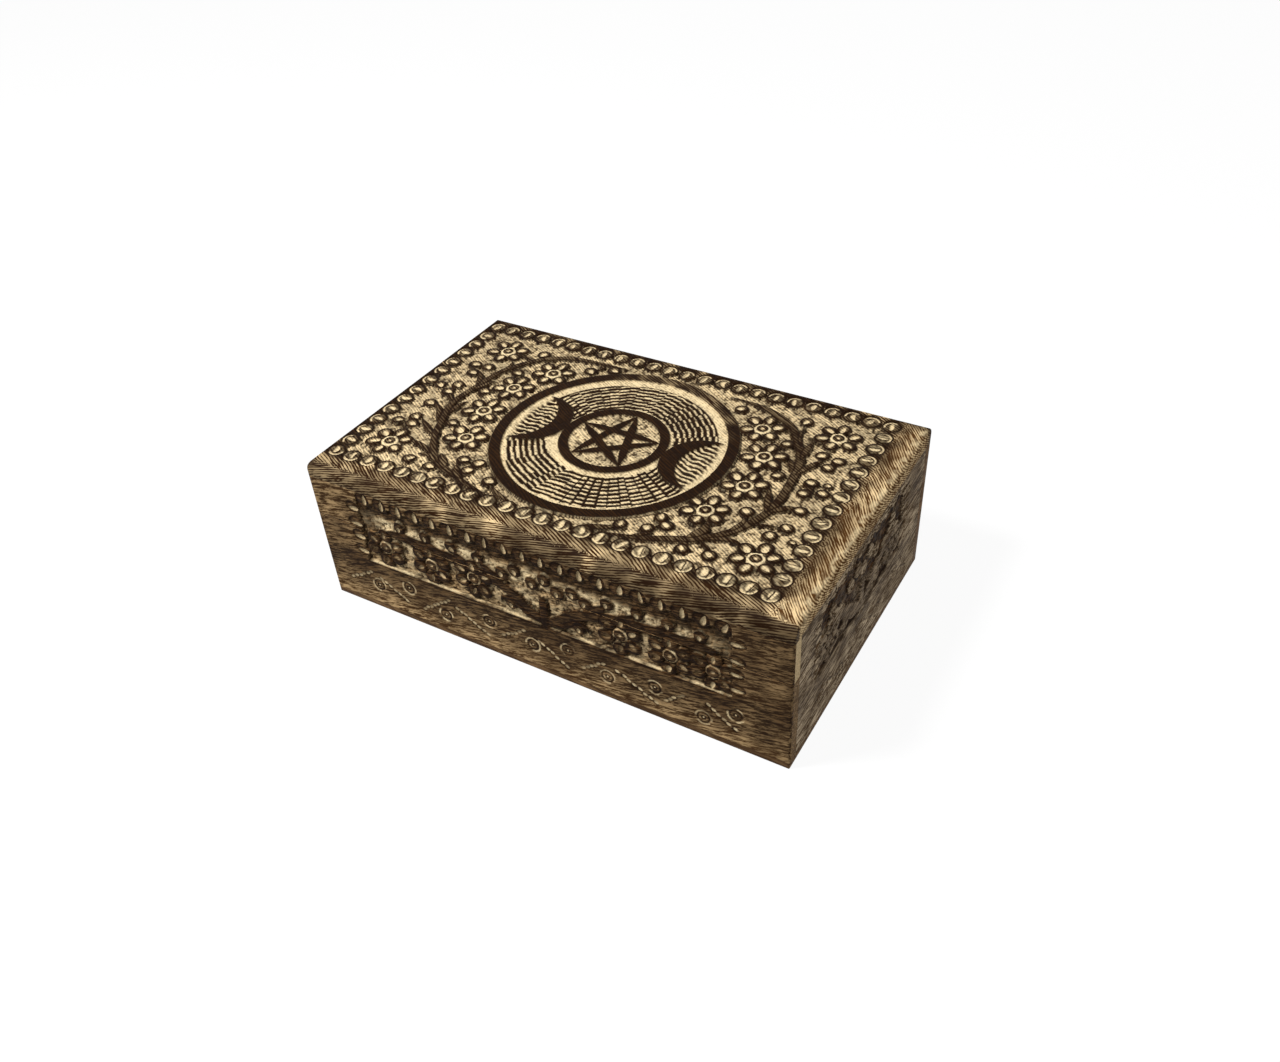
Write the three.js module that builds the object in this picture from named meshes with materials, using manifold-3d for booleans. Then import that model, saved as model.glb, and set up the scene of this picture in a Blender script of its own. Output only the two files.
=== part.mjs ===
// A small carved wooden box with a hinged lid and six compartments, in millimetres.
// X runs along the length, the front faces -Y, the hinges are at +Y, and Z is up from the underside.
import * as THREE from "three";
import { mergeVertices } from "three/addons/utils/BufferGeometryUtils.js";
import Module from "manifold-3d";

const wasm = await Module();
wasm.setup();

// Driving dimensions of the case
const LENGTH = 203;
const WIDTH = 125;
const HEIGHT = 65;
const SEAM_Z = 41;
const SEAM_GAP = 0.3;
const WALL = 5;
const GLUE = 0.1;
const BOTTOM_THICK = 3;
const TOP_THICK = 6;

// Hand-worked arrises
const FRONT_ROUND = 5;
const BACK_ROUND = 1.5;
const END_ROUND = 2.2;
const CORNER_ROUND = 1;
const FOOT_ROUND = 0.8;

// Relief carving on the lid: the ground is cut down, and what is named here is left standing
const CARVE_DEPTH = 1.1;
const DISC_DEPTH = 0.8;
const BEADS = { x: [-96.3, 87.5], y: [-50.2, 56.6], columns: 24, rows: 14, radius: 3.5, edge: 1.1 };
const MEDALLION = { x: -3.2, y: 2.7 };
const RING = { outer: 48.2, inner: 43.4 };
const INNER_RING = { outer: 21.6, inner: 17.5 };
const MOON = { tipX: 39.4, tipY: 15.7, back: 21.3, belly: 28.9 };
const STAR = { radius: 17.7, stroke: 2.8 };
const FLOWER = { petals: 6, outer: 9, notch: 5.4, groove: 3.4, eye: 2.3 };
const BERRY = 2.7;
const FLOWERS = [
  [44.1, 34.5], [52.5, 18.1], [54.1, -1.3], [48.1, -20.2], [-51.7, 33.9], [-60.2, 17.3],
  [-61.3, -2.1], [-56.1, -20.9], [72.5, 41], [75.2, -36.1], [-79.8, 41], [-81.9, -35.7],
];
const BERRIES = [
  [31, 43.3], [57.5, 46], [57, 29.1], [62.2, 9.5], [71.8, 27.9], [78.5, 27], [76.4, 21.8],
  [74.7, 10.6], [81, 6.2], [75, 3.5], [78.1, -6.1], [77.7, -17.1], [74.3, -23.4], [61.6, -14.6],
  [60.6, -41.7], [50.6, -43], [36.4, -30.9], [40.2, -34.2], [35.2, -38], [25.5, -40.4],
  [-29.8, 46.6], [-38.6, 42], [-63.8, 45.2], [-66.1, 27.9], [-69.8, 10], [-86.3, 26.2], [-80, 26.4],
  [-83.2, 20], [-82.8, 9.5], [-89.6, 6.6], [-83.6, 3.3], [-84.8, -6.5], [-67.3, -14.8], [-83.6, -17.5],
  [-88.6, -22.5], [-81.9, -22.5], [-48, -33.2], [-41.3, -33], [-42.1, -38.2], [-67.3, -41.7],
  [-57.3, -42.7], [-31.1, -40.2],
];

// Each vine and twig is a width and the points that its middle line runs through
const VINES = [
  [3.6, [[23, 49.5], [37, 48.2], [46.8, 44.8], [53.5, 40.4], [59, 33.5], [65, 23], [67.4, 13], [68.7, 1],
    [68.3, -11], [65, -21], [61, -28], [54.5, -34.5], [47, -38.8], [34, -44.4], [20, -47.6]]],
  [3.2, [[-23, 49.6], [-36.5, 49.3], [-49.4, 47.9], [-56.5, 45], [-61.9, 41.6], [-65.7, 37.5], [-69.8, 31.2],
    [-73, 24], [-74.8, 12.5], [-76.3, 1], [-75.7, -6], [-73, -13], [-69.2, -22.5], [-64.8, -30],
    [-60, -35.8], [-53.6, -39.8], [-44, -43.6], [-33, -46.6], [-20, -49.4]]],
];
const TWIGS = [
  [1.7, [[58.3, 43.6], [59, 36], [62.5, 29]]], [3, [[65.2, 35.5], [65, 29], [65.6, 21.5]]],
  [2.8, [[73.5, 26], [70.4, 20], [67.6, 12]]], [2.6, [[61.8, 21], [63.6, 18], [66, 13.5]]],
  [2.8, [[62.6, 1.5], [65, -5], [67.8, -13]]], [3.2, [[76.5, -5.6], [73, -7], [68, -12]]],
  [1.6, [[75.3, -17.6], [70.6, -18.8], [65, -21]]], [2.6, [[69.5, -34], [66, -31.6], [54.5, -35.2]]],
  [2.4, [[62.4, -16.5], [62.8, -22], [60, -29]]], [4.2, [[52.2, -25.5], [52.6, -31], [49.4, -37]]],
  [1.9, [[54, -36], [57.6, -38], [60.4, -40]]], [3.2, [[25, -42], [21, -44.6], [13.5, -46.8]]],
  [2.8, [[73.5, 13], [75.6, 8], [76, 2]]], [2.4, [[37.5, -35], [36, -41], [31, -45]]],
  [2.2, [[-37, 49], [-35.2, 46.5], [-36.4, 43]]], [2.8, [[-72.6, 34.5], [-71.4, 29], [-73.4, 23]]],
  [2.6, [[-82, 22.5], [-78, 18.5], [-74.8, 11]]], [2.4, [[-70.6, 18.5], [-72.4, 14], [-74.8, 9]]],
  [2.6, [[-83, -5.6], [-78.2, -9.2], [-74, -16]]], [2.8, [[-80.5, -17.5], [-74.8, -21.4], [-69.5, -25]]],
  [2.6, [[-75.5, -31.6], [-72.3, -32], [-61, -36]]], [2.4, [[-66.6, -37.6], [-61.9, -36.8], [-55, -39.6]]],
  [3.6, [[-58.4, -33.6], [-54.6, -37.3], [-51, -41]]], [3, [[-48.6, -36], [-46, -40.5], [-41, -44]]],
  [2.2, [[-29.4, -42], [-24, -45], [-14, -48.4]]], [2.6, [[-71.4, 0.5], [-72.8, -4], [-72.6, -11]]],
  [2.4, [[-83.4, 7.5], [-81, 1.5], [-76.8, -2]]], [2, [[-73.5, 40.5], [-68.5, 40], [-64, 39]]],
];

// Bands on the walls: along each, z from the underside; boughs are given from the root of the tree
const BAND = { low: 25.1, high: 55 };
const PETAL_ROW = { z: 55.9, pitch: 7.98, radius: 3.2 };
const BOUGH = {
  width: 4.6,
  points: [[0, 1.2], [9, 7.2], [13.6, 10.6], [23.5, 14.3], [34.4, 16.4], [48.5, 17.6], [71, 18.6]],
};
const TRUNK = { width: 3.9, height: 13.2 };
const STALKED = [[27.6, 47], [39.5, 47.6], [51.6, 47.6], [63.6, 47.6]];
const FRONT_BAND = {
  centre: 0, half: 79.5, root: 4.1, spread: 78, firstPetal: -75.2, petals: 20,
  flowers: [[-69, 34.6], [-46.9, 34.2], [-26.9, 35.6], [36, 34.2], [55.8, 33.2], [72.3, 33.2]],
  berries: [[-13, 43.8], [-7, 46.9], [0, 43.8], [5.8, 47.3], [10.8, 43.5], [17.2, 45.8], [22.6, 43.2]],
};
const END_BAND = {
  centre: -1.8, half: 38.5, root: -1.8, spread: 36, firstPetal: -37.7, petals: 10,
  flowers: [[-31.5, 34.4], [27.5, 34]],
  berries: [[-13.5, 44.6], [-7.6, 47.6], [-1.8, 44.4], [4.2, 47.8], [10, 44.4]],
};

// Dividers
const DIVIDER_THICK = 3;
const DIVIDER_TOP = 36;
const HOUSING_DEPTH = 1.2;
const HOUSING_SLACK = 0.15;
const COLUMNS = 3;

// Brass butt hinges
const HINGE_X = 62;
const HINGE_LENGTH = 25;
const HINGE_STANDOFF = 1.9;
const BARREL_R = 1.7;
const BORE_R = 0.95;
const PIN_R = 0.8;
const PIN_HEAD = { r: 1.25, thick: 0.6, gap: 0.1 };
const KNUCKLE = 8.2;
const LEAF = { thick: 0.8, inset: 3.9, gap: 0.1, slack: 0.15 };
const NAIL = { spread: 8.5, inset: 1.9, shank: 0.65, head: 1.5, headDeep: 0.6, length: 7, point: 1.6 };

const innerX = LENGTH / 2 - WALL;
const innerY = WIDTH / 2 - WALL;
const baseRim = SEAM_Z - SEAM_GAP / 2;
const lidRim = SEAM_Z + SEAM_GAP / 2;
const lidCeiling = HEIGHT - TOP_THICK;
const hingeY = WIDTH / 2 + HINGE_STANDOFF;

const finish = (name, color, roughness, metalness) =>
  new THREE.MeshStandardMaterial({ name, color, roughness, metalness });
const carvedWood = finish("carved_wood", 0x8a6436, 0.55, 0);
const plainWood = finish("plain_wood", 0x9a7445, 0.65, 0);
const brass = finish("aged_brass", 0xa8843f, 0.35, 1);

const group = new THREE.Group();

// Solids are made from three.js geometry, joined and cut, and turned back into geometry
function solidOf(geometry) {
  const bare = geometry.index ? geometry.toNonIndexed() : geometry.clone();
  bare.deleteAttribute("normal");
  bare.deleteAttribute("uv");
  const merged = mergeVertices(bare, 1e-4);
  return new wasm.Manifold(
    new wasm.Mesh({
      numProp: 3,
      vertProperties: merged.attributes.position.array,
      triVerts: new Uint32Array(merged.index.array),
    }),
  );
}

function add(name, solid, material) {
  const { vertProperties, triVerts } = solid.getMesh();
  const indexed = new THREE.BufferGeometry();
  indexed.setAttribute("position", new THREE.BufferAttribute(new Float32Array(vertProperties), 3));
  indexed.setIndex(new THREE.BufferAttribute(new Uint32Array(triVerts), 1));
  const geometry = indexed.toNonIndexed();
  geometry.computeVertexNormals();
  const mesh = new THREE.Mesh(geometry, material);
  mesh.name = name;
  group.add(mesh);
}

const join = (solids) => solids.reduce((whole, piece) => whole.add(piece));
const ordered = (a, b) => (a < b ? [a, b] : [b, a]);

// A block between two stations on each axis, given in either order
function block(xs, ys, zs) {
  const [[x0, x1], [y0, y1], [z0, z1]] = [xs, ys, zs].map(([a, b]) => ordered(a, b));
  const geometry = new THREE.BoxGeometry(x1 - x0, y1 - y0, z1 - z0);
  return solidOf(geometry.translate((x0 + x1) / 2, (y0 + y1) / 2, (z0 + z1) / 2));
}

// A cylinder along X between two stations, its axis through (y, z)
function barAlongX(radius, [x0, x1], y, z, sides) {
  const geometry = new THREE.CylinderGeometry(radius, radius, x1 - x0, sides);
  return solidOf(geometry.rotateZ(Math.PI / 2).translate((x0 + x1) / 2, y, z));
}

// An outline pulled up from z0 to z1
function prism(shape, z0, z1, curveSegments = 12) {
  const geometry = new THREE.ExtrudeGeometry(shape, { depth: z1 - z0, bevelEnabled: false, curveSegments });
  return solidOf(geometry.translate(0, 0, z0));
}

// A turned solid from its half profile of [radius, height] points, its axis on Z
function turned(profile, sides) {
  const points = profile.map(([r, h]) => new THREE.Vector2(r, h));
  return new THREE.LatheGeometry(points, sides).rotateX(Math.PI / 2);
}

// A rectangle whose corners, from the lower left anticlockwise, each have their own radius
function roundedRectangle([x0, x1], [y0, y1], [lowLeft, lowRight, highRight, highLeft]) {
  const quarter = Math.PI / 2;
  const shape = new THREE.Shape();
  shape.absarc(x0 + lowLeft, y0 + lowLeft, lowLeft, 2 * quarter, 3 * quarter);
  shape.absarc(x1 - lowRight, y0 + lowRight, lowRight, 3 * quarter, 4 * quarter);
  shape.absarc(x1 - highRight, y1 - highRight, highRight, 0, quarter);
  shape.absarc(x0 + highLeft, y1 - highLeft, highLeft, quarter, 2 * quarter);
  shape.closePath();
  return shape;
}

// The glued-up case is rounded over as one, so every board is cut back to this envelope
function sandedEnvelope() {
  const reach = LENGTH;
  const halfX = [-LENGTH / 2, LENGTH / 2];
  const halfY = [-WIDTH / 2, WIDTH / 2];
  const plan = prism(roundedRectangle(halfX, halfY, Array(4).fill(CORNER_ROUND)), -1, HEIGHT + 1, 3);
  const alongX = new THREE.ExtrudeGeometry(
    roundedRectangle(halfY, [0, HEIGHT], [FOOT_ROUND, FOOT_ROUND, BACK_ROUND, FRONT_ROUND]),
    { depth: 2 * reach, bevelEnabled: false, curveSegments: 5 },
  );
  alongX.translate(0, 0, -reach).rotateY(Math.PI / 2).rotateX(Math.PI / 2);
  const alongY = new THREE.ExtrudeGeometry(
    roundedRectangle(halfX, [0, HEIGHT], [FOOT_ROUND, FOOT_ROUND, END_ROUND, END_ROUND]),
    { depth: 2 * reach, bevelEnabled: false, curveSegments: 4 },
  );
  alongY.translate(0, 0, -reach).rotateX(Math.PI / 2);
  return plan.intersect(solidOf(alongX)).intersect(solidOf(alongY));
}

const envelope = sandedEnvelope();

function ringShape({ outer, inner }) {
  const shape = new THREE.Shape();
  shape.absarc(0, 0, outer, 0, 2 * Math.PI);
  const hole = new THREE.Path();
  hole.absarc(0, 0, inner, 0, 2 * Math.PI);
  shape.holes.push(hole);
  return shape;
}

// A moon between two arcs that share its tips, its back turned to the middle of the lid
function moonShape(side) {
  const arcThroughTips = (bulge, steps) => {
    const sagitta = MOON.tipX - bulge;
    const radius = (MOON.tipY ** 2 + sagitta ** 2) / (2 * sagitta);
    const centre = bulge + radius;
    const half = Math.atan2(MOON.tipY, centre - MOON.tipX);
    return Array.from({ length: steps + 1 }, (_, i) => {
      const angle = half * ((2 * i) / steps - 1);
      return new THREE.Vector2(side * (centre - radius * Math.cos(angle)), radius * Math.sin(angle));
    });
  };
  const back = arcThroughTips(MOON.back, 16);
  const belly = arcThroughTips(MOON.belly, 12).reverse().slice(1, -1);
  return new THREE.Shape([...back, ...belly]);
}

// One stroke of the star: a long lens from tip to tip
function starStroke(from, to) {
  const along = to.clone().sub(from);
  const across = new THREE.Vector2(-along.y, along.x).setLength(STAR.stroke / 2);
  const at = (t, s) => from.clone().addScaledVector(along, t).addScaledVector(across, s);
  return new THREE.Shape([from, at(0.25, -1), at(0.75, -1), to, at(0.75, 1), at(0.25, 1)]);
}

// Ring, moons, inner ring and five-pointed star in the middle of the lid
function medallion(low, high) {
  const tips = Array.from({ length: 5 }, (_, i) => {
    const angle = Math.PI / 2 + (i * 4 * Math.PI) / 5;
    return new THREE.Vector2(STAR.radius * Math.cos(angle), STAR.radius * Math.sin(angle));
  });
  const strokes = tips.map((tip, i) => prism(starStroke(tip, tips[(i + 1) % tips.length]), low, high));
  const rings = [prism(ringShape(RING), low, high, 32), prism(ringShape(INNER_RING), low, high, 18)];
  const moons = [-1, 1].map((side) => prism(moonShape(side), low, high));
  return join([...rings, ...moons, ...strokes]).translate([MEDALLION.x, MEDALLION.y, 0]);
}

// The carved motifs are built standing between two levels under the planed face, which is at zero
const standing = [-CARVE_DEPTH - 1, 0];

// A closed outline round a place, from its corners' distances, which are repeated all the way round
function rosette([x, y], distances, repeats = 1) {
  const corners = Array.from({ length: distances.length * repeats }, (_, i) => {
    const angle = (2 * Math.PI * i) / (distances.length * repeats);
    const distance = distances[i % distances.length];
    return new THREE.Vector2(x - distance * Math.sin(angle), y + distance * Math.cos(angle));
  });
  return new THREE.Shape(corners);
}

const round = (place, radius) => prism(rosette(place, [radius], 6), ...standing);

// Six petals round an eye, with a groove between
function flower(place) {
  const petals = rosette(place, [FLOWER.notch, FLOWER.outer, FLOWER.outer], FLOWER.petals);
  petals.holes.push(rosette(place, [FLOWER.groove], 6));
  return prism(petals, ...standing).add(round(place, FLOWER.eye));
}

// A stroke along a path, thinner towards both its ends
function stem(width, points, steps = points.length - 1) {
  const path = new THREE.SplineCurve(points.map(([x, y]) => new THREE.Vector2(x, y))).getPoints(steps);
  const edge = (side) =>
    path.slice(1, -1).map((point, i) => {
      const along = path[i + 2].clone().sub(path[i]).normalize();
      const share = Math.min(i + 1, steps - i - 1) / steps;
      const half = (side * width * Math.min(1, 4 * share) ** 0.6) / 2;
      return new THREE.Vector2(point.x - along.y * half, point.y + along.x * half);
    });
  const outline = [path[0], ...edge(-1), path[steps], ...edge(1).reverse()];
  return prism(new THREE.Shape(outline), ...standing);
}

// The border of beads, half let into the plain margin
function beadBorder() {
  const { x, y, columns, rows, radius } = BEADS;
  const station = ([first, last], i, count) => first + ((last - first) * i) / (count - 1);
  const along = Array.from({ length: columns }, (_, i) => y.map((v) => [station(x, i, columns), v]));
  const across = Array.from({ length: rows - 2 }, (_, i) => x.map((u) => [u, station(y, i + 1, rows)]));
  return join([...along, ...across].flat().map((place) => round(place, radius)));
}

// What the carver takes out of the lid's top
function topCarving() {
  const [fieldX, fieldY] = [BEADS.x, BEADS.y].map(([low, high]) => [low - BEADS.edge, high + BEADS.edge]);
  const ground = prism(roundedRectangle(fieldX, fieldY, Array(4).fill(1)), -CARVE_DEPTH, 1, 2);
  const disc = new THREE.Shape();
  disc.absarc(MEDALLION.x, MEDALLION.y, (RING.inner + RING.outer) / 2, 0, 2 * Math.PI);
  const motifs = [
    medallion(...standing),
    prism(disc, standing[0], -DISC_DEPTH, 24),
    beadBorder(),
    ...FLOWERS.map(flower),
    ...BERRIES.map((place) => round(place, BERRY)),
    ...VINES.map(([width, points]) => stem(width, points)),
    ...TWIGS.map(([width, points]) => stem(width, points, 3)),
  ];
  return ground.subtract(join(motifs)).translate([0, 0, HEIGHT]);
}

// A trunk with a bough to each side, and the berries that stand on the boughs
function tree({ root, spread }) {
  const branches = [-1, 1].flatMap((side) => {
    const bough = BOUGH.points.filter(([u]) => u < spread).map(([u, z]) => [root + side * u, BAND.low + z]);
    const berries = STALKED.filter(([u]) => u < spread).map(([u, z]) => round([root + side * u, z], BERRY));
    return [stem(BOUGH.width, bough), ...berries];
  });
  const top = BAND.low + TRUNK.height;
  const trunk = stem(TRUNK.width, [[root, BAND.low - 1], [root, BAND.low + 2], [root, top - 2], [root, top]]);
  return join([trunk, ...branches]);
}

// What the carver takes out of an upright face, across the seam: turn is 0 at the front, 90 at the right
function bandCarving(band, faceDistance, turn) {
  const { centre, half, firstPetal, petals } = band;
  const outline = roundedRectangle([centre - half, centre + half], [BAND.low, BAND.high], Array(4).fill(1));
  const petalRow = Array.from({ length: petals }, (_, i) => {
    return round([firstPetal + PETAL_ROW.pitch * i, PETAL_ROW.z], PETAL_ROW.radius);
  });
  const berries = band.berries.map((place) => round(place, BERRY));
  const motifs = join([tree(band), ...petalRow, ...band.flowers.map(flower), ...berries]);
  const cut = prism(outline, -CARVE_DEPTH, 1, 2).subtract(motifs);
  return cut.translate([0, 0, faceDistance]).rotate([90, 0, turn]);
}

// Upright grooves that hold the divider ends
const grooveHalf = DIVIDER_THICK / 2 + HOUSING_SLACK;
const columnX = Array.from({ length: COLUMNS - 1 }, (_, i) => -innerX + (2 * innerX * (i + 1)) / COLUMNS);
const grooveZ = [BOTTOM_THICK - 1, SEAM_Z + 1];

function crossGrooves(side) {
  const ys = [side * (innerY - 1), side * (innerY + HOUSING_DEPTH)];
  return join(columnX.map((x) => block([x - grooveHalf, x + grooveHalf], ys, grooveZ)));
}

function endGroove(side) {
  return block([side * (innerX - 1), side * (innerX + HOUSING_DEPTH)], [-grooveHalf, grooveHalf], grooveZ);
}

// Recesses and pilot holes for the hinge leaves: up is -1 in the base's rim and 1 in the lid's
const hinges = { left: -HINGE_X, right: HINGE_X };

function leafRecess(x, up) {
  const half = HINGE_LENGTH / 2 + LEAF.slack;
  const ys = [WIDTH / 2 - LEAF.inset - LEAF.slack, WIDTH / 2 + 1];
  const depth = LEAF.gap + LEAF.thick + LEAF.slack;
  const seat = block([x - half, x + half], ys, [SEAM_Z - up, SEAM_Z + up * depth]);
  const pilots = [-1, 1].map((end) => {
    const hole = new THREE.CylinderGeometry(NAIL.shank + 0.12, NAIL.shank + 0.12, NAIL.length + 1, 10);
    hole.rotateX(Math.PI / 2);
    hole.translate(x + end * NAIL.spread, WIDTH / 2 - NAIL.inset, SEAM_Z + up * (NAIL.length / 2 + 0.2));
    return solidOf(hole);
  });
  return join([seat, ...pilots]);
}

const leafRecesses = (up) => join(Object.values(hinges).map((x) => leafRecess(x, up)));

// A long wall is on side -1 at the front or 1 at the back, and runs the whole length
function longWall(side, zs) {
  return block([-LENGTH / 2, LENGTH / 2], [side * innerY, (side * WIDTH) / 2], zs).intersect(envelope);
}

// An end wall is on side -1 at the left or 1 at the right, and is butted between the long walls
function endWall(side, zs) {
  return block([side * innerX, (side * LENGTH) / 2], [GLUE - innerY, innerY - GLUE], zs).intersect(envelope);
}

const frontBand = bandCarving(FRONT_BAND, WIDTH / 2, 0);
const rightBand = bandCarving(END_BAND, LENGTH / 2, 90);
const leftBand = bandCarving(END_BAND, LENGTH / 2, -90);

// Base: four walls on a bottom sheet that covers the whole underside
function buildBase() {
  const zs = [BOTTOM_THICK, baseRim];
  const sheet = block([-LENGTH / 2, LENGTH / 2], [-WIDTH / 2, WIDTH / 2], [0, BOTTOM_THICK]);
  add("bottom_board", sheet.intersect(envelope), plainWood);
  add("base_front_board", longWall(-1, zs).subtract(frontBand).subtract(crossGrooves(-1)), carvedWood);
  add("base_back_board", longWall(1, zs).subtract(crossGrooves(1)).subtract(leafRecesses(-1)), carvedWood);
  add("base_left_board", endWall(-1, zs).subtract(leftBand).subtract(endGroove(-1)), carvedWood);
  add("base_right_board", endWall(1, zs).subtract(rightBand).subtract(endGroove(1)), carvedWood);
}

// Lid: four shallow walls under a carved top board that covers them
function buildLid() {
  const zs = [lidRim, lidCeiling];
  add("lid_front_board", longWall(-1, zs).subtract(frontBand), carvedWood);
  add("lid_back_board", longWall(1, zs).subtract(leafRecesses(1)), carvedWood);
  add("lid_left_board", endWall(-1, zs).subtract(leftBand), carvedWood);
  add("lid_right_board", endWall(1, zs).subtract(rightBand), carvedWood);
  const top = block([-LENGTH / 2, LENGTH / 2], [-WIDTH / 2, WIDTH / 2], [lidCeiling, HEIGHT]);
  add("lid_top_board", top.intersect(envelope).subtract(topCarving()), carvedWood);
}

// A divider slat along Y, with a rounded top edge
function slat(reach) {
  const half = DIVIDER_THICK / 2;
  const profile = new THREE.Shape();
  profile.moveTo(-half, BOTTOM_THICK + GLUE);
  profile.lineTo(half, BOTTOM_THICK + GLUE);
  profile.absarc(0, DIVIDER_TOP - half, half, 0, Math.PI);
  profile.closePath();
  return prism(profile, -reach, reach, 6).rotate([90, 0, 0]);
}

// One long slat and two cross slats, halved over each other
function buildDividers() {
  const middle = (BOTTOM_THICK + DIVIDER_TOP) / 2;
  const reachX = innerX + HOUSING_DEPTH - GLUE;
  const reachY = innerY + HOUSING_DEPTH - GLUE;
  const slotted = (x) => block([x - grooveHalf, x + grooveHalf], [-WALL, WALL], [middle, HEIGHT]);
  const lowSlot = block([-WALL, WALL], [-grooveHalf, grooveHalf], [0, middle + GLUE]);
  add("long_divider", slat(reachX).rotate([0, 0, 90]).subtract(join(columnX.map(slotted))), plainWood);
  ["cross_divider_left", "cross_divider_right"].forEach((name, i) => {
    add(name, slat(reachY).subtract(lowSlot).translate([columnX[i], 0, 0]), plainWood);
  });
}

// One leaf of a butt hinge: the base leaf (up = -1) has two outer knuckles, the lid leaf the middle one
function hingeLeaf(x, up) {
  const clear = 0.1;
  const near = SEAM_Z + up * LEAF.gap;
  const far = near + up * LEAF.thick;
  const end = HINGE_LENGTH / 2;
  const split = KNUCKLE / 2;
  const knuckle = (radius, span) => barAlongX(radius, span, hingeY, SEAM_Z, 20);
  const outer = (radius, slack) =>
    join([
      knuckle(radius, [x - end - slack, x - split - clear + slack]),
      knuckle(radius, [x + split + clear - slack, x + end + slack]),
    ]);
  const middle = (radius, slack) => knuckle(radius, [x - split - slack, x + split + slack]);
  const [own, other] = up < 0 ? [outer, middle] : [middle, outer];
  const plate = block([x - end, x + end], [WIDTH / 2 - LEAF.inset, hingeY], [near, far]);
  const bore = barAlongX(BORE_R, [x - end - 1, x + end + 1], hingeY, SEAM_Z, 16);
  const leaf = plate.add(own(BARREL_R, 0)).subtract(other(BARREL_R + 0.2, clear));
  return leaf.subtract(bore).subtract(nailSinks(x, up));
}

// Points a solid that is turned about Z down into the base (up = -1) or up into the lid (up = 1)
const driveInto = (geometry, up) => (up < 0 ? geometry : geometry.rotateX(Math.PI));

// Countersunk holes through a leaf
function nailSinks(x, up) {
  const profile = [
    [0, -LEAF.thick - 0.4],
    [NAIL.shank + 0.2, -LEAF.thick - 0.4],
    [NAIL.shank + 0.2, -NAIL.headDeep - 0.1],
    [NAIL.head + 0.2, 0],
    [NAIL.head + 0.2, 0.4],
    [0, 0.4],
  ];
  return join(
    [-1, 1].map((end) => {
      const sink = driveInto(turned(profile, 14), up);
      return solidOf(sink.translate(x + end * NAIL.spread, WIDTH / 2 - NAIL.inset, SEAM_Z + up * LEAF.gap));
    }),
  );
}

// A countersunk nail through a leaf into the wood
function nail(x, up) {
  const profile = [
    [0, -NAIL.length],
    [NAIL.shank, -NAIL.length + NAIL.point],
    [NAIL.shank, -NAIL.headDeep],
    [NAIL.head, -0.08],
    [NAIL.head, 0],
    [0, 0],
  ];
  const geometry = driveInto(turned(profile, 12), up);
  return solidOf(geometry.translate(x, WIDTH / 2 - NAIL.inset, SEAM_Z + up * (LEAF.gap + 0.05)));
}

// A hinge pin with both ends peened to a low dome
function hingePin(x) {
  const end = HINGE_LENGTH / 2 + PIN_HEAD.gap;
  const tip = end + PIN_HEAD.thick;
  const dome = [
    [PIN_R, end],
    [PIN_HEAD.r, end],
    [PIN_HEAD.r * 0.85, end + PIN_HEAD.thick * 0.7],
    [PIN_HEAD.r * 0.4, tip - 0.05],
    [0, tip],
  ];
  const lower = dome.map(([r, h]) => [r, -h]).reverse();
  return solidOf(turned([...lower, ...dome], 14).rotateY(Math.PI / 2).translate(x, hingeY, SEAM_Z));
}

function buildHinges() {
  for (const [side, x] of Object.entries(hinges)) {
    add(`${side}_hinge_base_leaf`, hingeLeaf(x, -1), brass);
    add(`${side}_hinge_lid_leaf`, hingeLeaf(x, 1), brass);
    add(`${side}_hinge_pin`, hingePin(x), brass);
    [-1, 1].forEach((end, i) => {
      add(`${side}_base_nail_${i + 1}`, nail(x + end * NAIL.spread, -1), brass);
      add(`${side}_lid_nail_${i + 1}`, nail(x + end * NAIL.spread, 1), brass);
    });
  }
}

buildBase();
buildLid();
buildDividers();
buildHinges();

export default group;
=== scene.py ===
from math import atan2, cos, hypot, pi, radians, sin

import bpy
import numpy as np
from mathutils import Euler, Matrix, Vector


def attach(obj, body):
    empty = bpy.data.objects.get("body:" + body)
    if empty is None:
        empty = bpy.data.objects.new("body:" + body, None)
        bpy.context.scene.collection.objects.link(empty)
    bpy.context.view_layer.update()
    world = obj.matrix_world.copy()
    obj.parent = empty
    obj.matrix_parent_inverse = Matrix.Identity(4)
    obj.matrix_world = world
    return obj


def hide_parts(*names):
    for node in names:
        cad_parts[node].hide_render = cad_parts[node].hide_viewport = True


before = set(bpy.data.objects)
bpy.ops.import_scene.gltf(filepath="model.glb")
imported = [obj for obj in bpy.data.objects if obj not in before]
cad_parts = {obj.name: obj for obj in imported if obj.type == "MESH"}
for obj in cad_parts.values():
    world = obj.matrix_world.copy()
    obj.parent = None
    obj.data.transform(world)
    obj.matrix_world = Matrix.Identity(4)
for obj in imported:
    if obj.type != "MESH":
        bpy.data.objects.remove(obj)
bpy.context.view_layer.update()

bpy.ops.object.select_all(action="DESELECT")


# The camera
# The box is seen from the front right and from above, about half a metre away, by a camera that is held a few
# degrees askew. It looks at the middle of the underside from the distance that the offset gives.
CASE_LENGTH = 0.203
VIEW_AZIMUTH = radians(32.4946)
VIEW_ELEVATION = radians(38.6502)
VIEW_ROLL = radians(-3.686)
VIEW_OFFSET = Vector((0.025974, 0.089195, 2.348515)) * CASE_LENGTH
FOCAL_PIXELS = 1151.84
IMAGE_WIDTH = 1280
SENSOR = 36.0

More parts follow.
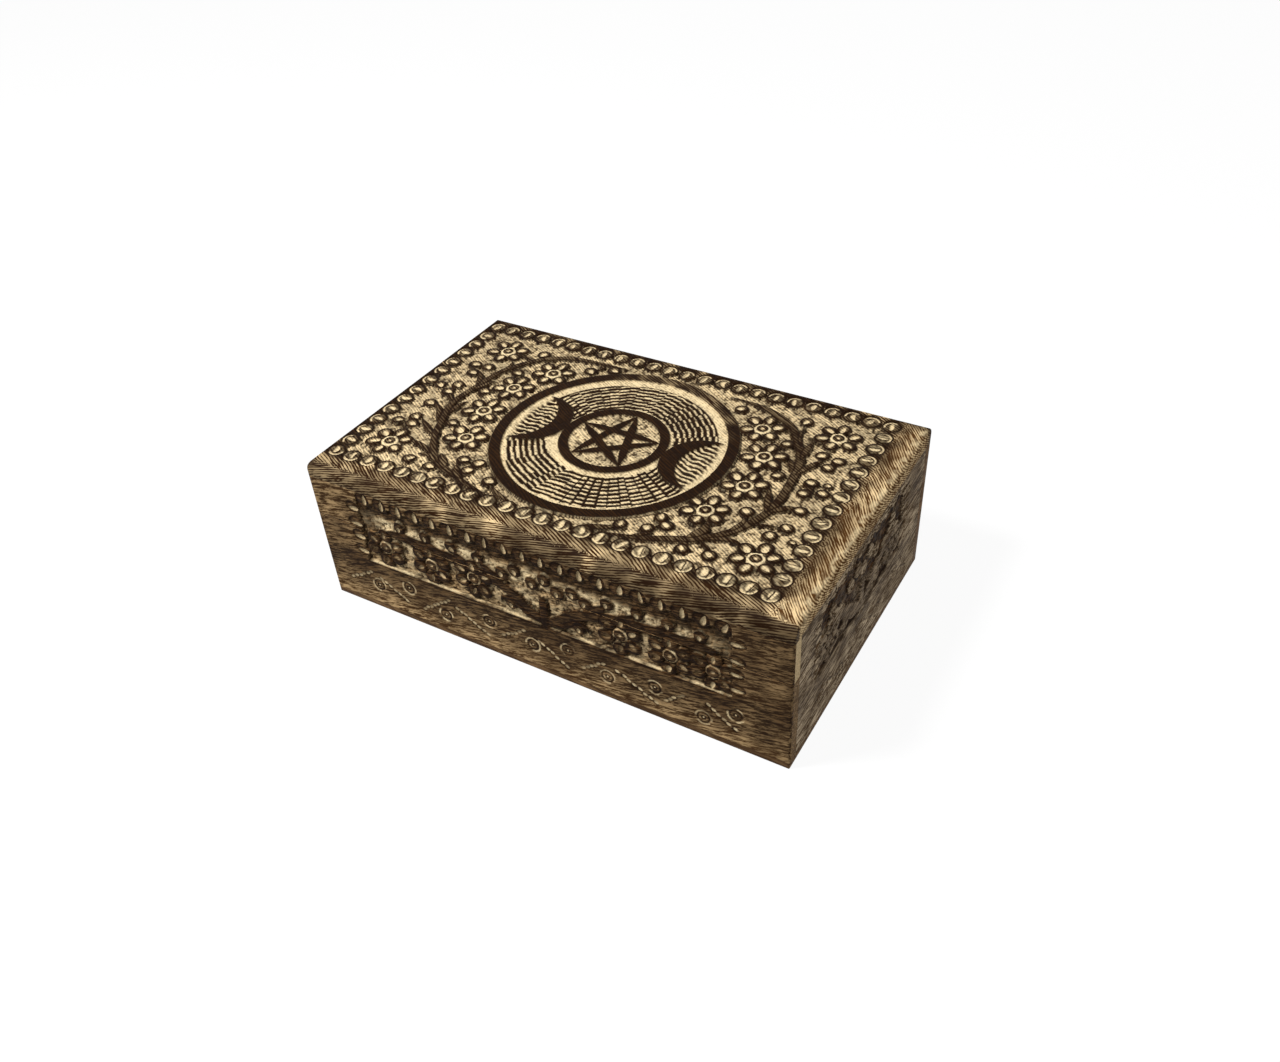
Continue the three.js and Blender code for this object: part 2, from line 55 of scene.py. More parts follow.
attitude = Euler((pi / 2 - VIEW_ELEVATION, 0, VIEW_AZIMUTH)).to_matrix() @ Matrix.Rotation(VIEW_ROLL, 3, "Z")
bpy.ops.object.camera_add()
camera = bpy.context.object
camera.name = "front_right_camera"
camera.data.sensor_width = SENSOR
camera.data.lens = FOCAL_PIXELS / IMAGE_WIDTH * SENSOR
camera.data.clip_start = 0.01
camera.matrix_world = Matrix.Translation(attitude @ VIEW_OFFSET) @ attitude.to_4x4()
bpy.context.scene.camera = camera
bpy.context.scene.view_settings.view_transform = "Standard"


# White table and light tent
# The box stands on a white cloth in a light tent. The light is soft and falls from above and a little from the
# left, so the front and the right end are in half shade and a faint shadow lies on the cloth to the right.
TENT_LIGHT = 0.24
CLOTH = 0.42
CLOTH_SEEN = 0.09
CLOTH_GLOW = 0.93
FLOOR_SIZE = 6.0
LAMPS = {"overhead_lamp": ((-0.45, -0.45, 1.0), 0.26, 15.5), "right_fill": ((1.1, 0.1, 0.5), 0.7, 3.0)}
WHITE = (1, 1, 1, 1)
BLACK = (0, 0, 0, 1)


def put(tree, kind, inputs=None, **settings):
    """Add a shader node whose inputs are plain values or other nodes' outputs. Gives its outputs."""
    made = tree.nodes.new("ShaderNode" + kind)
    for key, value in settings.items():
        setattr(made, key, value)
    for key, value in (inputs or {}).items():
        if isinstance(value, bpy.types.NodeSocket):
            tree.links.new(value, made.inputs[key])
        else:
            made.inputs[key].default_value = value
    return made.outputs


def calc(tree, operation, *values, kind="Math"):
    return put(tree, kind, dict(enumerate(values)), operation=operation)[0]


def blank_finish(name):
    """A material with no shader nodes yet, and its tree."""
    made = bpy.data.materials.new(name)
    made.use_nodes = True
    made.node_tree.nodes.clear()
    return made, made.node_tree


def seen_bright(tree, dull, bright):
    """Shade as dull for the light that falls on the box, and as bright where the table or tent is itself seen."""
    rays = put(tree, "LightPath")
    seen = rays["Is Camera Ray"]
    for ray in ("Is Glossy Ray", "Is Transmission Ray"):
        seen = calc(tree, "MAXIMUM", seen, rays[ray])
    return put(tree, "MixShader", {0: seen, 1: dull, 2: bright})[0]


tent = bpy.context.scene.world or bpy.data.worlds.new("light_tent")
bpy.context.scene.world = tent
tent.use_nodes = True
tree = tent.node_tree
tree.nodes.clear()
lit = put(tree, "Background", {"Color": WHITE, "Strength": TENT_LIGHT})
white = put(tree, "Background", {"Color": WHITE, "Strength": 1.0})
put(tree, "OutputWorld", {"Surface": seen_bright(tree, lit[0], white[0])})

bpy.ops.mesh.primitive_plane_add(size=FLOOR_SIZE)
cloth = bpy.context.object
cloth.name = "white_table"
white_cloth, tree = blank_finish("white_cloth")
dull = put(tree, "BsdfDiffuse", {"Color": (CLOTH, CLOTH, CLOTH, 1)})
glow = put(tree, "Emission", {"Color": WHITE, "Strength": CLOTH_GLOW})
pale = put(tree, "BsdfDiffuse", {"Color": (CLOTH_SEEN, CLOTH_SEEN, CLOTH_SEEN, 1)})
bright = put(tree, "AddShader", {0: pale[0], 1: glow[0]})
put(tree, "OutputMaterial", {"Surface": seen_bright(tree, dull[0], bright[0])})
cloth.data.materials.append(white_cloth)

for name, (place, size, power) in LAMPS.items():
    bpy.ops.object.light_add(type="AREA", location=place)
    lamp = bpy.context.object
    lamp.name = name
    lamp.data.shape = "DISK"
    lamp.data.size = size
    lamp.data.energy = power
    lamp.rotation_euler = (-Vector(place)).to_track_quat("-Z", "Y").to_euler()


# Lid top board
# A 6 mm hardwood board laid over the lid's walls. Its ground is cut down round a ring with two moons and a
# five-pointed star, between flowers on two vines, inside a border of scooped beads. The board was stained dark and
# the cuts left pale, and the bare margins and the rounded front arris are rubbed to gold.
MM = 0.001
HALF_LENGTH = 101.5
HALF_WIDTH = 62.5
TOP_OF_LID = 65.0
TOP_THICK = 5.98
FRONT_ROUND = 5.0
BACK_ROUND = 1.5
END_ROUND = 2.2
CORNER_ROUND = 1.0
PITCH = 0.3
GROUND = -1.1
EDGE = 0.16
EYE_GAMMA = 2.0
SAWN_EDGE = (0, 0.1, 0.9)
EVERYWHERE = np.s_[:, :]
HAND_SHIFT = 0.12
HAND_TURN = 0.09
HAND_SIZE = 0.035

BEAD_SPAN = ((-96.3, 87.5), (-50.2, 56.6))
BEAD_COUNT = (24, 14)
BEAD_SIZE = 6.9
BEAD_MOAT = (4, 3.7)
BEAD_CAP = (3.15, 2.75)
MEDALLION = (-3.2, 2.7)
DISC_FLOOR = -0.75
RING = (48.2, 43.4)
INNER_RING = (21.6, 17.5)
MOON_TIP = (39.4, 15.7)
MOON_BACK = 21.3
MOON_BELLY = 28.9
STAR_RADIUS = 17.7
STAR_STROKE = 3.5
ROWS = 13
ROW_PITCH = 2.3
ROW_SECTOR = 6.2
FIRST_ROW = 24.9
LAST_ROW = 41.6
ROW_DRIFT = ([-180, -150, -138, -125, -110, 180], [3, 2, 1, 0.4, 0, 0])
LENS_PITCH = 2.35
PETAL_REACH = 6.3
STEM_HEIGHT = -0.14
ARRIS_EDGE = -59.2
RIGHT_MARGIN = 92
STRIP_EDGE = 34
FLOWERS = [(44.1, 34.5), (52.5, 18.1), (54.1, -1.3), (48.1, -20.2), (-51.7, 33.9), (-60.2, 17.3), (-61.3, -2.1),
           (-56.1, -20.9), (72.5, 41), (75.2, -36.1), (-79.8, 41), (-81.9, -35.7)]
DROPS = [(31, 43.3), (57.5, 46), (57, 29.1), (62.2, 9.5), (71.8, 27.9), (78.5, 27), (76.4, 21.8),
         (74.7, 10.6), (81, 6.2), (75, 3.5), (78.1, -6.1), (77.7, -17.1), (74.3, -23.4), (61.6, -14.6),
         (60.6, -41.7), (50.6, -43), (36.4, -30.9), (40.2, -34.2), (35.2, -38), (25.5, -40.4),
         (-29.8, 46.6), (-38.6, 42), (-63.8, 45.2), (-66.1, 27.9), (-69.8, 10), (-86.3, 26.2), (-80, 26.4),
         (-83.2, 20), (-82.8, 9.5), (-89.6, 6.6), (-83.6, 3.3), (-84.8, -6.5), (-67.3, -14.8), (-83.6, -17.5),
         (-88.6, -22.5), (-81.9, -22.5), (-48, -33.2), (-41.3, -33), (-42.1, -38.2), (-67.3, -41.7),
         (-57.3, -42.7), (-31.1, -40.2)]
BUDS = [(80.6, 11.4), (82.4, -23.2)]
VINES = [
    (3.6, [(23, 49.5), (37, 48.2), (46.8, 44.8), (53.5, 40.4), (59, 33.5), (65, 23), (67.4, 13), (68.7, 1),
           (68.3, -11), (65, -21), (61, -28), (54.5, -34.5), (47, -38.8), (34, -44.4), (20, -47.6)]),
    (3.2, [(-23, 49.6), (-36.5, 49.3), (-49.4, 47.9), (-56.5, 45), (-61.9, 41.6), (-65.7, 37.5), (-69.8, 31.2),
           (-73, 24), (-74.8, 12.5), (-76.3, 1), (-75.7, -6), (-73, -13), (-69.2, -22.5), (-64.8, -30),
           (-60, -35.8), (-53.6, -39.8), (-44, -43.6), (-33, -46.6), (-20, -49.4)]),
]
TWIGS = [
    (1.7, [(58.3, 43.6), (59, 36), (62.5, 29)]), (3, [(65.2, 35.5), (65, 29), (65.6, 21.5)]),
    (2.8, [(73.5, 26), (70.4, 20), (67.6, 12)]), (2.6, [(61.8, 21), (63.6, 18), (66, 13.5)]),
    (2.8, [(62.6, 1.5), (65, -5), (67.8, -13)]), (3.2, [(76.5, -5.6), (73, -7), (68, -12)]),
    (1.6, [(75.3, -17.6), (70.6, -18.8), (65, -21)]), (2.6, [(69.5, -34), (66, -31.6), (61, -32), (54.5, -35.2)]),
    (2.4, [(62.4, -16.5), (62.8, -22), (60, -29)]), (4.2, [(52.2, -25.5), (52.6, -31), (49.4, -37)]),
    (1.9, [(54, -36), (57.6, -38), (60.4, -40)]), (1.5, [(46, -39.6), (50.6, -39.8), (52.6, -42)]),
    (3.2, [(25, -42), (21, -44.6), (13.5, -46.8)]), (2.8, [(73.5, 13), (75.6, 8), (76, 2)]),
    (2.4, [(37.5, -35), (36, -41), (31, -45)]), (2.2, [(-37, 49), (-35.2, 46.5), (-36.4, 43)]),
    (2.8, [(-72.6, 34.5), (-71.4, 29), (-73.4, 23)]), (2.6, [(-82, 22.5), (-78, 18.5), (-74.8, 11)]),
    (2.4, [(-70.6, 18.5), (-72.4, 14), (-74.8, 9)]), (2.6, [(-83, -5.6), (-78.2, -9.2), (-74, -16)]),
    (2.8, [(-80.5, -17.5), (-74.8, -21.4), (-69.5, -25)]),
    (2.6, [(-75.5, -31.6), (-72.3, -32), (-67.3, -33), (-61, -36)]),
    (2.4, [(-66.6, -37.6), (-61.9, -36.8), (-55, -39.6)]), (1.6, [(-55, -41.6), (-49.4, -42.8), (-42.5, -44.6)]),
    (3.6, [(-58.4, -33.6), (-54.6, -37.3), (-51, -41)]), (3, [(-48.6, -36), (-46, -40.5), (-41, -44)]),
    (2.2, [(-29.4, -42), (-24, -45), (-14, -48.4)]), (2.6, [(-71.4, 0.5), (-72.8, -4), (-72.6, -11)]),
    (2.4, [(-83.4, 7.5), (-81, 1.5), (-76.8, -2)]), (2, [(-73.5, 40.5), (-68.5, 40), (-64, 39)]),
]

chance = np.random.default_rng(11)


def rise(low, high, value):
    """0 at low, 1 at high and a smooth rise between. Low may be the greater of the two."""
    step = np.clip((value - low) / (high - low), 0, 1)
    return step * step * (3 - 2 * step)


def softened(values, size):
    """The values with all detail finer than about size millimetres smoothed away."""
    rows = np.fft.fftfreq(values.shape[0], PITCH)[:, None]
    columns = np.fft.rfftfreq(values.shape[1], PITCH)[None, :]
    keep = np.exp(-2 * (pi * size / 2.4) ** 2 * (rows**2 + columns**2))
    return np.fft.irfft2(np.fft.rfft2(values) * keep, values.shape)


def mottle(patch, size):
    """Smooth random relief over a patch, with a grain of about size millimetres, from about -2 to 2."""
    relief = softened(chance.standard_normal(patch.shape), size)
    return relief / relief.std()


def stations(low, high, first_round=0.0, last_round=0.0):
    """Places along a board, a pitch apart, and closer over the rounding at each end."""
    flat = high - low - first_round - last_round
    inner = np.linspace(low + first_round, high - last_round, round(flat / PITCH) + 1)
    arc = 1 - np.cos(np.radians(np.arange(0, 89, 7.5)))
    first = low + first_round * arc if first_round else []
    last = high - last_round * arc[::-1] if last_round else []
    return np.concatenate([first, inner, last])


class Carving:
    """The face of a board as the carver sees it: its us run along and its vs across, in millimetres. Each spot has
    a height above the planed face, and is cut pale, stained dark, or neither."""

    def __init__(self, us, vs):
        self.us, self.vs, self.shape = us, vs, (len(vs), len(us))
        self.height, self.cut, self.stain, self.clean = np.zeros((4, *self.shape))

    def window(self, u, v, reach):
        """The patch round a spot, and the distances along and across from it."""
        reach_u, reach_v = np.broadcast_to(reach, 2)
        columns = slice(*np.searchsorted(self.us, (u - reach_u, u + reach_u)))
        rows = slice(*np.searchsorted(self.vs, (v - reach_v, v + reach_v)))
        return (rows, columns), self.us[None, columns] - u, self.vs[rows, None] - v

    def grid(self):
        return np.meshgrid(self.us, self.vs)

    def keep_unshaded_and_clean(self, patch, mask):
        self.clean[patch] = np.maximum(self.clean[patch], mask)

    def lay(self, patch, mask, height, cut, stain):
        for layer, value in ((self.height, height), (self.cut, cut), (self.stain, stain)):
            layer[patch] += mask * (value - layer[patch])

    def sink_ground(self, mask, pale=0.7):
        """Cut the ground down, and prick it all over with a point."""
        rough, fine = mottle(self, 1.6), mottle(self, 0.7)
        prick = rise(-0.9, 1.9, 0.55 * rough + 0.85 * fine)
        self.lay(EVERYWHERE, mask, GROUND - 0.08 * rough - 0.25 * prick, pale * (1 - 0.68 * prick), 0.6 * prick**2)

    def weather(self, upright=0.0):
        """Stain gathers in the corners of the cuts, with painted shade there and on the ground hemmed in by raised
        parts, and stain is rubbed off their proud edges. On an upright face the shade is stronger, the ledges that look
        up are painted light, and the rubbed edges get more of a painted highlight."""
        proud = self.height - softened(self.height, 1.0)
        # Painted shade: the sunk ground close round raised parts is darkened, more on an upright face.
        crowd = softened(rise(-0.8, -0.3, self.height), 3.2) * rise(-0.4, -0.8, self.height)
        crowded_shade = (0.45 + 0.45 * upright) * rise(0.25, 0.62 - 0.1 * upright, crowd)
        # Hollows take stain and painted shade, except where the carving marked them to stay free of both.
        stain_and_shade = np.maximum(rise(0.06, 0.34, -proud), crowded_shade) * (1 - 0.9 * self.clean)
        if upright:
            # Painted light: on an upright face the ledges that look up are lit pale and kept free of stain and shade.
            lit_ledge = softened(rise(0.3, 1.1, -np.gradient(softened(self.height, 0.6), self.vs, axis=0)), 0.5)
            lit_ledge = lit_ledge * rise(-0.2, -0.5, self.height) * rise(-1.0, 0.8, mottle(self, 3))
            stain_and_shade *= 1 - lit_ledge
            self.cut = np.maximum(self.cut, 0.75 * lit_ledge)
        self.cut *= 1 - 0.92 * stain_and_shade
        self.stain = np.maximum(self.stain, 0.95 * stain_and_shade)
        # Stain is rubbed off the proud edges; the extra on an upright face is a painted highlight.
        rubbed = rise(0.14, 0.45, proud) * rise(-1.0, 1.0, mottle(self, 1.4))
        self.cut = np.maximum(self.cut, (0.5 + 0.25 * upright) * rubbed * self.stain)
        self.height = np.minimum(self.height, 0)


def along_across(du, dv, turn):
    return du * cos(turn) + dv * sin(turn), dv * cos(turn) - du * sin(turn)


def petal(board, u, v, length, width, turn, stroke, depth=0.55, body_stain=1.0, pale=1.0, blush=0.16):
    """A raised oval with one gouge stroke along it. The stroke's shift along and across, and its half length and
    half width, are shares of the oval's."""
    wobble = chance.normal(0, 1, 6)
    u, v = u + HAND_SHIFT * wobble[0], v + HAND_SHIFT * wobble[1]
    turn = turn + HAND_TURN * wobble[2]
    length, width = length * (1 + HAND_SIZE * wobble[3]), width * (1 + HAND_SIZE * wobble[4])
    reach = max(length, width)
    patch, du, dv = board.window(u, v, reach)
    along, across = along_across(du, dv, turn)
    along, across = along / (length / 2), across / (width / 2)
    edge = np.hypot(along, across)
    soft = 2 * EDGE / width
    body = rise(1 + soft, 1 - soft, edge)
    rim = rise(0.5, 0.76, edge)
    sides = (across - stroke[1]) / (stroke[3] * (1 + 0.12 * wobble[5]) * np.clip(1 - 0.5 * along, 0.4, 1.6))
    scoop = rise(1.1, 0.8, np.hypot((along - stroke[0]) / stroke[2], sides))
    stain = body_stain * (0.66 - blush + (0.34 + blush) * rim)
    cut = np.maximum(0.95 * scoop, blush * (1 - rim)) * pale
    board.lay(patch, body, -0.1 - 0.3 * edge**2 - depth * scoop, cut, stain * (1 - scoop * pale**0.5))
    board.clean[patch] = np.maximum(board.clean[patch] * (1 - body), scoop * body)


def flower(board, u, v, turn, size=5.8, stroke=(-0.14, 0.0, 0.64, 0.32), fade=0.0, eye=2.3, blush=0.16):
    """Petals round a pale groove, with a dark eye that is pricked in the middle. Some strokes may be faded."""
    for i in range(6):
        angle = turn + 2 * pi * i / 6 + chance.normal(0, 0.05)
        petal(board, u + PETAL_REACH * cos(angle), v + PETAL_REACH * sin(angle), size * 1.08, size * 1.02,
              angle, stroke, pale=1 - fade * chance.random(), blush=blush)
    patch, du, dv = board.window(u, v, PETAL_REACH)
    distance = np.hypot(du, dv)
    groove = rise(eye + 1.0 - 0.4 * fade, eye + 0.75 - 0.4 * fade, distance)
    board.lay(patch, groove, -0.6, np.clip(1 - fade * (0.45 + 0.3 * mottle(distance, 1.5)), 0, 1), 0)
    board.keep_unshaded_and_clean(patch, groove)
    prick = rise(0.85, 0.45, distance)
    rim = rise(eye - 0.9, eye - 0.3, distance)
    disc = rise(eye + 0.15, eye - 0.15, distance)
    board.lay(patch, disc, -0.3 - 0.4 * prick, 0.8 * prick, 0.6 + 0.4 * rim - prick)


def drop(board, u, v, size=5.9, turn=0.0, stray=0.5, scoop=(0.2, 0.0, 0.54, 0.38), blush=0.16):
    """A round berry with a pale scoop that leaves a dark rim, thicker on one side."""
    petal(board, u, v, size, size * 0.97, turn + stray * chance.normal(), scoop, blush=blush)


def smooth_path(points, count):
    """A smooth line through given points."""
    points = np.array(points, float)
    ends = np.vstack([2 * points[0] - points[1], points, 2 * points[-1] - points[-2]])
    spots = np.linspace(0, len(points) - 1 - 1e-9, count)
    first = spots.astype(int)
    t = (spots - first)[:, None]
    before, start, end, after = (ends[first + i] for i in range(4))
    bend = 2 * before - 5 * start + 4 * end - after
    return start + 0.5 * ((end - before) * t + bend * t**2 + (3 * start - before - 3 * end + after) * t**3)


def stem(board, width, points, taper, stain):
    """A flat stroke left standing along a path, which thins over a share of its length at each end."""
    path = smooth_path(points, 8 * len(points))
    low, high = path.min(0), path.max(0)
    middle, reach = (low + high) / 2, (high - low) / 2 + width
    patch, du, dv = board.window(*middle, reach)
    us, vs = du + middle[0], dv + middle[1]
    share = np.linspace(0, 1, len(path))
    thinning = np.minimum(np.clip(share / taper[0], 0.02, 1), np.clip((1 - share) / taper[1], 0.02, 1))
    halves = width / 2 * thinning**0.6
    outside = np.full((len(vs), us.shape[1]), 99.0)
    for (u0, v0), (u1, v1), w0, w1 in zip(path, path[1:], halves, halves[1:]):
        run_u, run_v = u1 - u0, v1 - v0
        t = np.clip(((us - u0) * run_u + (vs - v0) * run_v) / (run_u**2 + run_v**2 + 1e-9), 0, 1)
        outside = np.minimum(outside, np.hypot(us - u0 - t * run_u, vs - v0 - t * run_v) - w0 - t * (w1 - w0))
    edge = rise(-0.9, -0.1, outside)
    board.lay(patch, rise(0.2, -EDGE, outside), STEM_HEIGHT - 0.15 * edge, 0, stain + (1 - stain) * edge)


def bead(board, u, v, turn, pale):
    """A border bead: a dark moat round a brown cap, with a stroke down its middle and an arc cut in its outer side."""
    wobble = chance.normal(0, 1, 5)
    patch, du, dv = board.window(u + HAND_SHIFT * wobble[0], v + HAND_SHIFT * wobble[1], BEAD_SIZE)
    along, across = along_across(du, dv, turn + 0.16 * wobble[2])
    radius = np.hypot(du, dv) * (1 + 0.03 * wobble[3])
    board.lay(patch, rise(*BEAD_MOAT, radius), -0.45, 0, 1.0)
    blush = np.clip(0.32 * pale + 0.14 * mottle(radius, 1.2), 0, 1)
    board.lay(patch, rise(*BEAD_CAP, radius), -0.12 - 0.02 * radius**2, blush, 0.62)
    bow = across + 0.3 * wobble[4] + 0.1 * wobble[1] * along**2
    stroke = rise(1.2, 0.75, np.hypot((along + 0.3) / (2.2 + 0.2 * wobble[3]), bow / (0.75 + 0.45 * pale)))
    arc = rise(0.42, 0.18, np.abs(radius - 2.75)) * rise(0.6, 1.6, along + across * (0.3 + 0.3 * wobble[0]))
    hair = rise(0.42, 0.18, np.abs(across - 0.8 - 0.5 * wobble[1])) * rise(2.9, 2.2, radius) * pale
    board.lay(patch, 0.9 * stroke, -0.6, 1.0, 0)
    board.lay(patch, arc, -0.6, 0.95, 0)
    board.lay(patch, 0.9 * hair, -0.5, 0, 0.85)
    board.keep_unshaded_and_clean(patch, np.maximum(stroke, arc))


def comb_rows(radius, degrees):
    """Rings of short dark gouge strokes, stamped sector by sector, as shares of full depth."""
    around = (degrees + 180) / ROW_SECTOR
    sector = around.astype(int)
    within = around - sector - 0.5
    upper = rise(-20, 20, degrees) * rise(200, 160, degrees)
    first = FIRST_ROW - 1.3 * upper + np.interp(degrees, *ROW_DRIFT)
    last = LAST_ROW - 2.2 * upper
    sectors = sector.max() + 2
    slip = chance.normal(0, 0.12, sectors)[sector]
    tilt = chance.normal(0, 0.2, sectors)[sector]
    rows = (radius - first) / ROW_PITCH + slip + tilt * within
    row = np.clip(np.round(rows).astype(int), 0, ROWS - 1)
    scatter = chance.normal(0, 1, (3, sectors, ROWS))
    half = 0.32 + 0.04 * upper + 0.04 * scatter[0][sector, row]
    stroke = rise(half + 0.06, half - 0.08, np.abs(rows - row + 0.05 * scatter[1][sector, row]))
    border = rise(0.75, 0.3, (0.5 - np.abs(within)) * np.radians(ROW_SECTOR) * radius)
    slits = rise(-98, -86, degrees) * rise(-20, -34, degrees) * (scatter[2][sector, 0] > -0.2)
    scored = np.clip(0.15 + slits + 0.3 * scatter[2][sector, row] + 0.5 * scatter[2][sector, 0], 0, 1) * border
    zone = rise(first - 1.4, first - 1.0, radius) * rise(last + 0.7, last + 0.2, radius)
    return zone * np.maximum(stroke, scored)


def raised(outside):
    """The shape whose edge lies this far inward of each spot, as a mask."""
    return rise(EDGE, -EDGE, outside)


def hoop(radius, outer, inner):
    return raised(np.abs(radius - (outer + inner) / 2) - (outer - inner) / 2)


def medallion(board):
    """The disc of comb strokes, and the rings, moons and star left standing on it."""
    patch, du, dv = board.window(*MEDALLION, RING[0] + 1)
    radius = np.hypot(du, dv)
    degrees = np.degrees(np.arctan2(dv + 0 * du, du + 0 * dv))
    lens = rise(25, 21, np.degrees(np.arcsin(np.clip(np.abs(dv) / (radius + 1e-6), 0, 1)))) * rise(27, 28, radius)
    ripple = dv + 0.25 * np.maximum(du, 0) + 0.4 * np.sin(0.8 * du) + 0.25 * mottle(radius, 1.6)
    ripple_lines = rise(0.16, 0.52, 0.5 + 0.5 * np.cos(2 * pi * ripple / LENS_PITCH))
    lens_lines = ripple_lines * rise(RING[1] - 1.5, RING[1] - 4.5, radius) * (1 - 0.1 * (du > 0))
    inside = rise(INNER_RING[0], INNER_RING[0] - 0.5, radius)
    strokes = comb_rows(radius, degrees) * (1 - inside)
    strokes += lens * (lens_lines - strokes)
    rough, fine = mottle(radius, 1.1), mottle(radius, 0.65)
    prick = rise(0.0, 1.4, 0.7 * rough + 0.7 * fine) * (0.25 + 0.5 * inside)
    floor = DISC_FLOOR - 0.15 * strokes - 0.05 * rough - 0.14 * prick
    pale = (1 - strokes) * (0.95 - 0.17 * inside - 0.75 * prick)
    board.lay(patch, rise(RING[0] + 0.3, RING[0], radius), floor, pale, np.maximum(strokes, 0.7 * prick))

    angles = [pi * (0.5 + 0.8 * i) for i in range(6)]
    tips = [(STAR_RADIUS * cos(angle), STAR_RADIUS * sin(angle)) for angle in angles]
    standing = np.maximum(hoop(radius, *RING), hoop(radius, *INNER_RING))
    for (u0, v0), (u1, v1) in zip(tips, tips[1:]):
        run = hypot(u1 - u0, v1 - v0)
        along = ((du - u0) * (u1 - u0) + (dv - v0) * (v1 - v0)) / run**2
        across = np.abs((dv - v0) * (u1 - u0) - (du - u0) * (v1 - v0)) / run
        half = STAR_STROKE / 2 * np.clip(np.minimum(along, 1 - along) / 0.26, 0, 1) ** 0.7
        standing = np.maximum(standing, rise(0.2, -EDGE, across - half) * (along > 0) * (along < 1))
    for side in (-1, 1):
        edges = []
        for bulge in (MOON_BACK, MOON_BELLY):
            sagitta = MOON_TIP[0] - bulge
            arc = (MOON_TIP[1] ** 2 + sagitta**2) / (2 * sagitta)
            edges.append(np.hypot(side * du - bulge - arc, dv) - arc)
        moon = raised(np.maximum(edges[0], -edges[1])) * (side * du < MOON_TIP[0])
        standing = np.maximum(standing, moon)
    worn = rise(-1.8, 0.8, mottle(radius, 5))
    worn *= rise(15, 45, degrees) * rise(135, 105, degrees) * (radius > 42)
    board.lay(patch, standing, -0.06 - 0.02 * rough, 0, 1 - 0.55 * worn)
    board.keep_unshaded_and_clean(patch, 0.85 * (1 - standing) * (radius < RING[1]))


def carve_top():
    board = Carving(stations(-HALF_LENGTH, HALF_LENGTH, END_ROUND, END_ROUND),
                    stations(-HALF_WIDTH, HALF_WIDTH, FRONT_ROUND, BACK_ROUND))
    us, vs = board.grid()
    (left, right), (front, rear) = BEAD_SPAN
    beyond = np.maximum.reduce([left - us, us - right, front - vs, vs - rear])
    far_side = np.maximum(rise(-88, -96, us) * rise(-56, -46, vs), rise(56, 61, vs))
    arris = rise(-57.2, -60.4, vs) * (0.17 + 0.14 * rise(-60, 90, us))
    shade = 0.06 + 0.26 * rise(-53, -56.5, vs) + 0.75 * rise(5.8, 2.8, beyond) + 0.5 * far_side + arris
    shade += 0.45 * rise(61, 62, vs)
    shade = np.maximum(shade, 0.44 * rise(98, 93, us) * rise(86, 88, us) * rise(-58, -50, vs))
    # Painted highlights: a pale patch where the front arris meets the right end, and a pale band along the roll of the
    # right end's arris.
    corner_highlight = rise(10, 2, np.hypot(us - 97, vs + 55.5)) * rise(-60.4, -58.4, vs)
    board.stain[:] = np.clip((shade - corner_highlight) * rise(-3.4, 0.9, mottle(board, 5)), 0, 1)
    roll_highlight = 0.7 * rise(97, 99, us) * rise(101.3, 100.3, us) * rise(-60.4, -58.4, vs)
    board.cut[:] = np.maximum(0.7 * corner_highlight, roll_highlight) * rise(-1.5, 1, mottle(board, 2))
    board.sink_ground(rise(1.4, 0.8, beyond))
    for width, points in VINES:
        stem(board, width, points, (0.12, 0.12), 0.62)
    for width, points in TWIGS:
        stem(board, width, points, (0.45, 0.3), 0.55)
    for u, v in DROPS:
        drop(board, u, v, turn=atan2(v, u) + pi)
    for u, v in BUDS:
        drop(board, u, v, 3.6)
    for u, v in FLOWERS:
        flower(board, u, v, radians(87))
    medallion(board)
    along = np.linspace(left, right, BEAD_COUNT[0])
    across = np.linspace(front, rear, BEAD_COUNT[1])
    for u in along:
        bead(board, u, front, -pi / 2, 0.5 + 0.5 * rise(0, 60, u))
        bead(board, u, rear, pi / 2, 0.42)
    for v in across[1:-1]:
        bead(board, left, v, pi, 0.3)
        bead(board, right, v, 0, 0.8)
    board.weather()
    return board


def arris_drop(stops, first_round, last_round):
    """How far the rounded arris at each end of a board falls below its face."""
    fall = np.zeros_like(stops)
    for inset, radius in ((stops - stops[0], first_round), (stops[-1] - stops, last_round)):
        fall += radius - np.sqrt(radius**2 - np.clip(radius - inset, 0, radius) ** 2)
    return fall


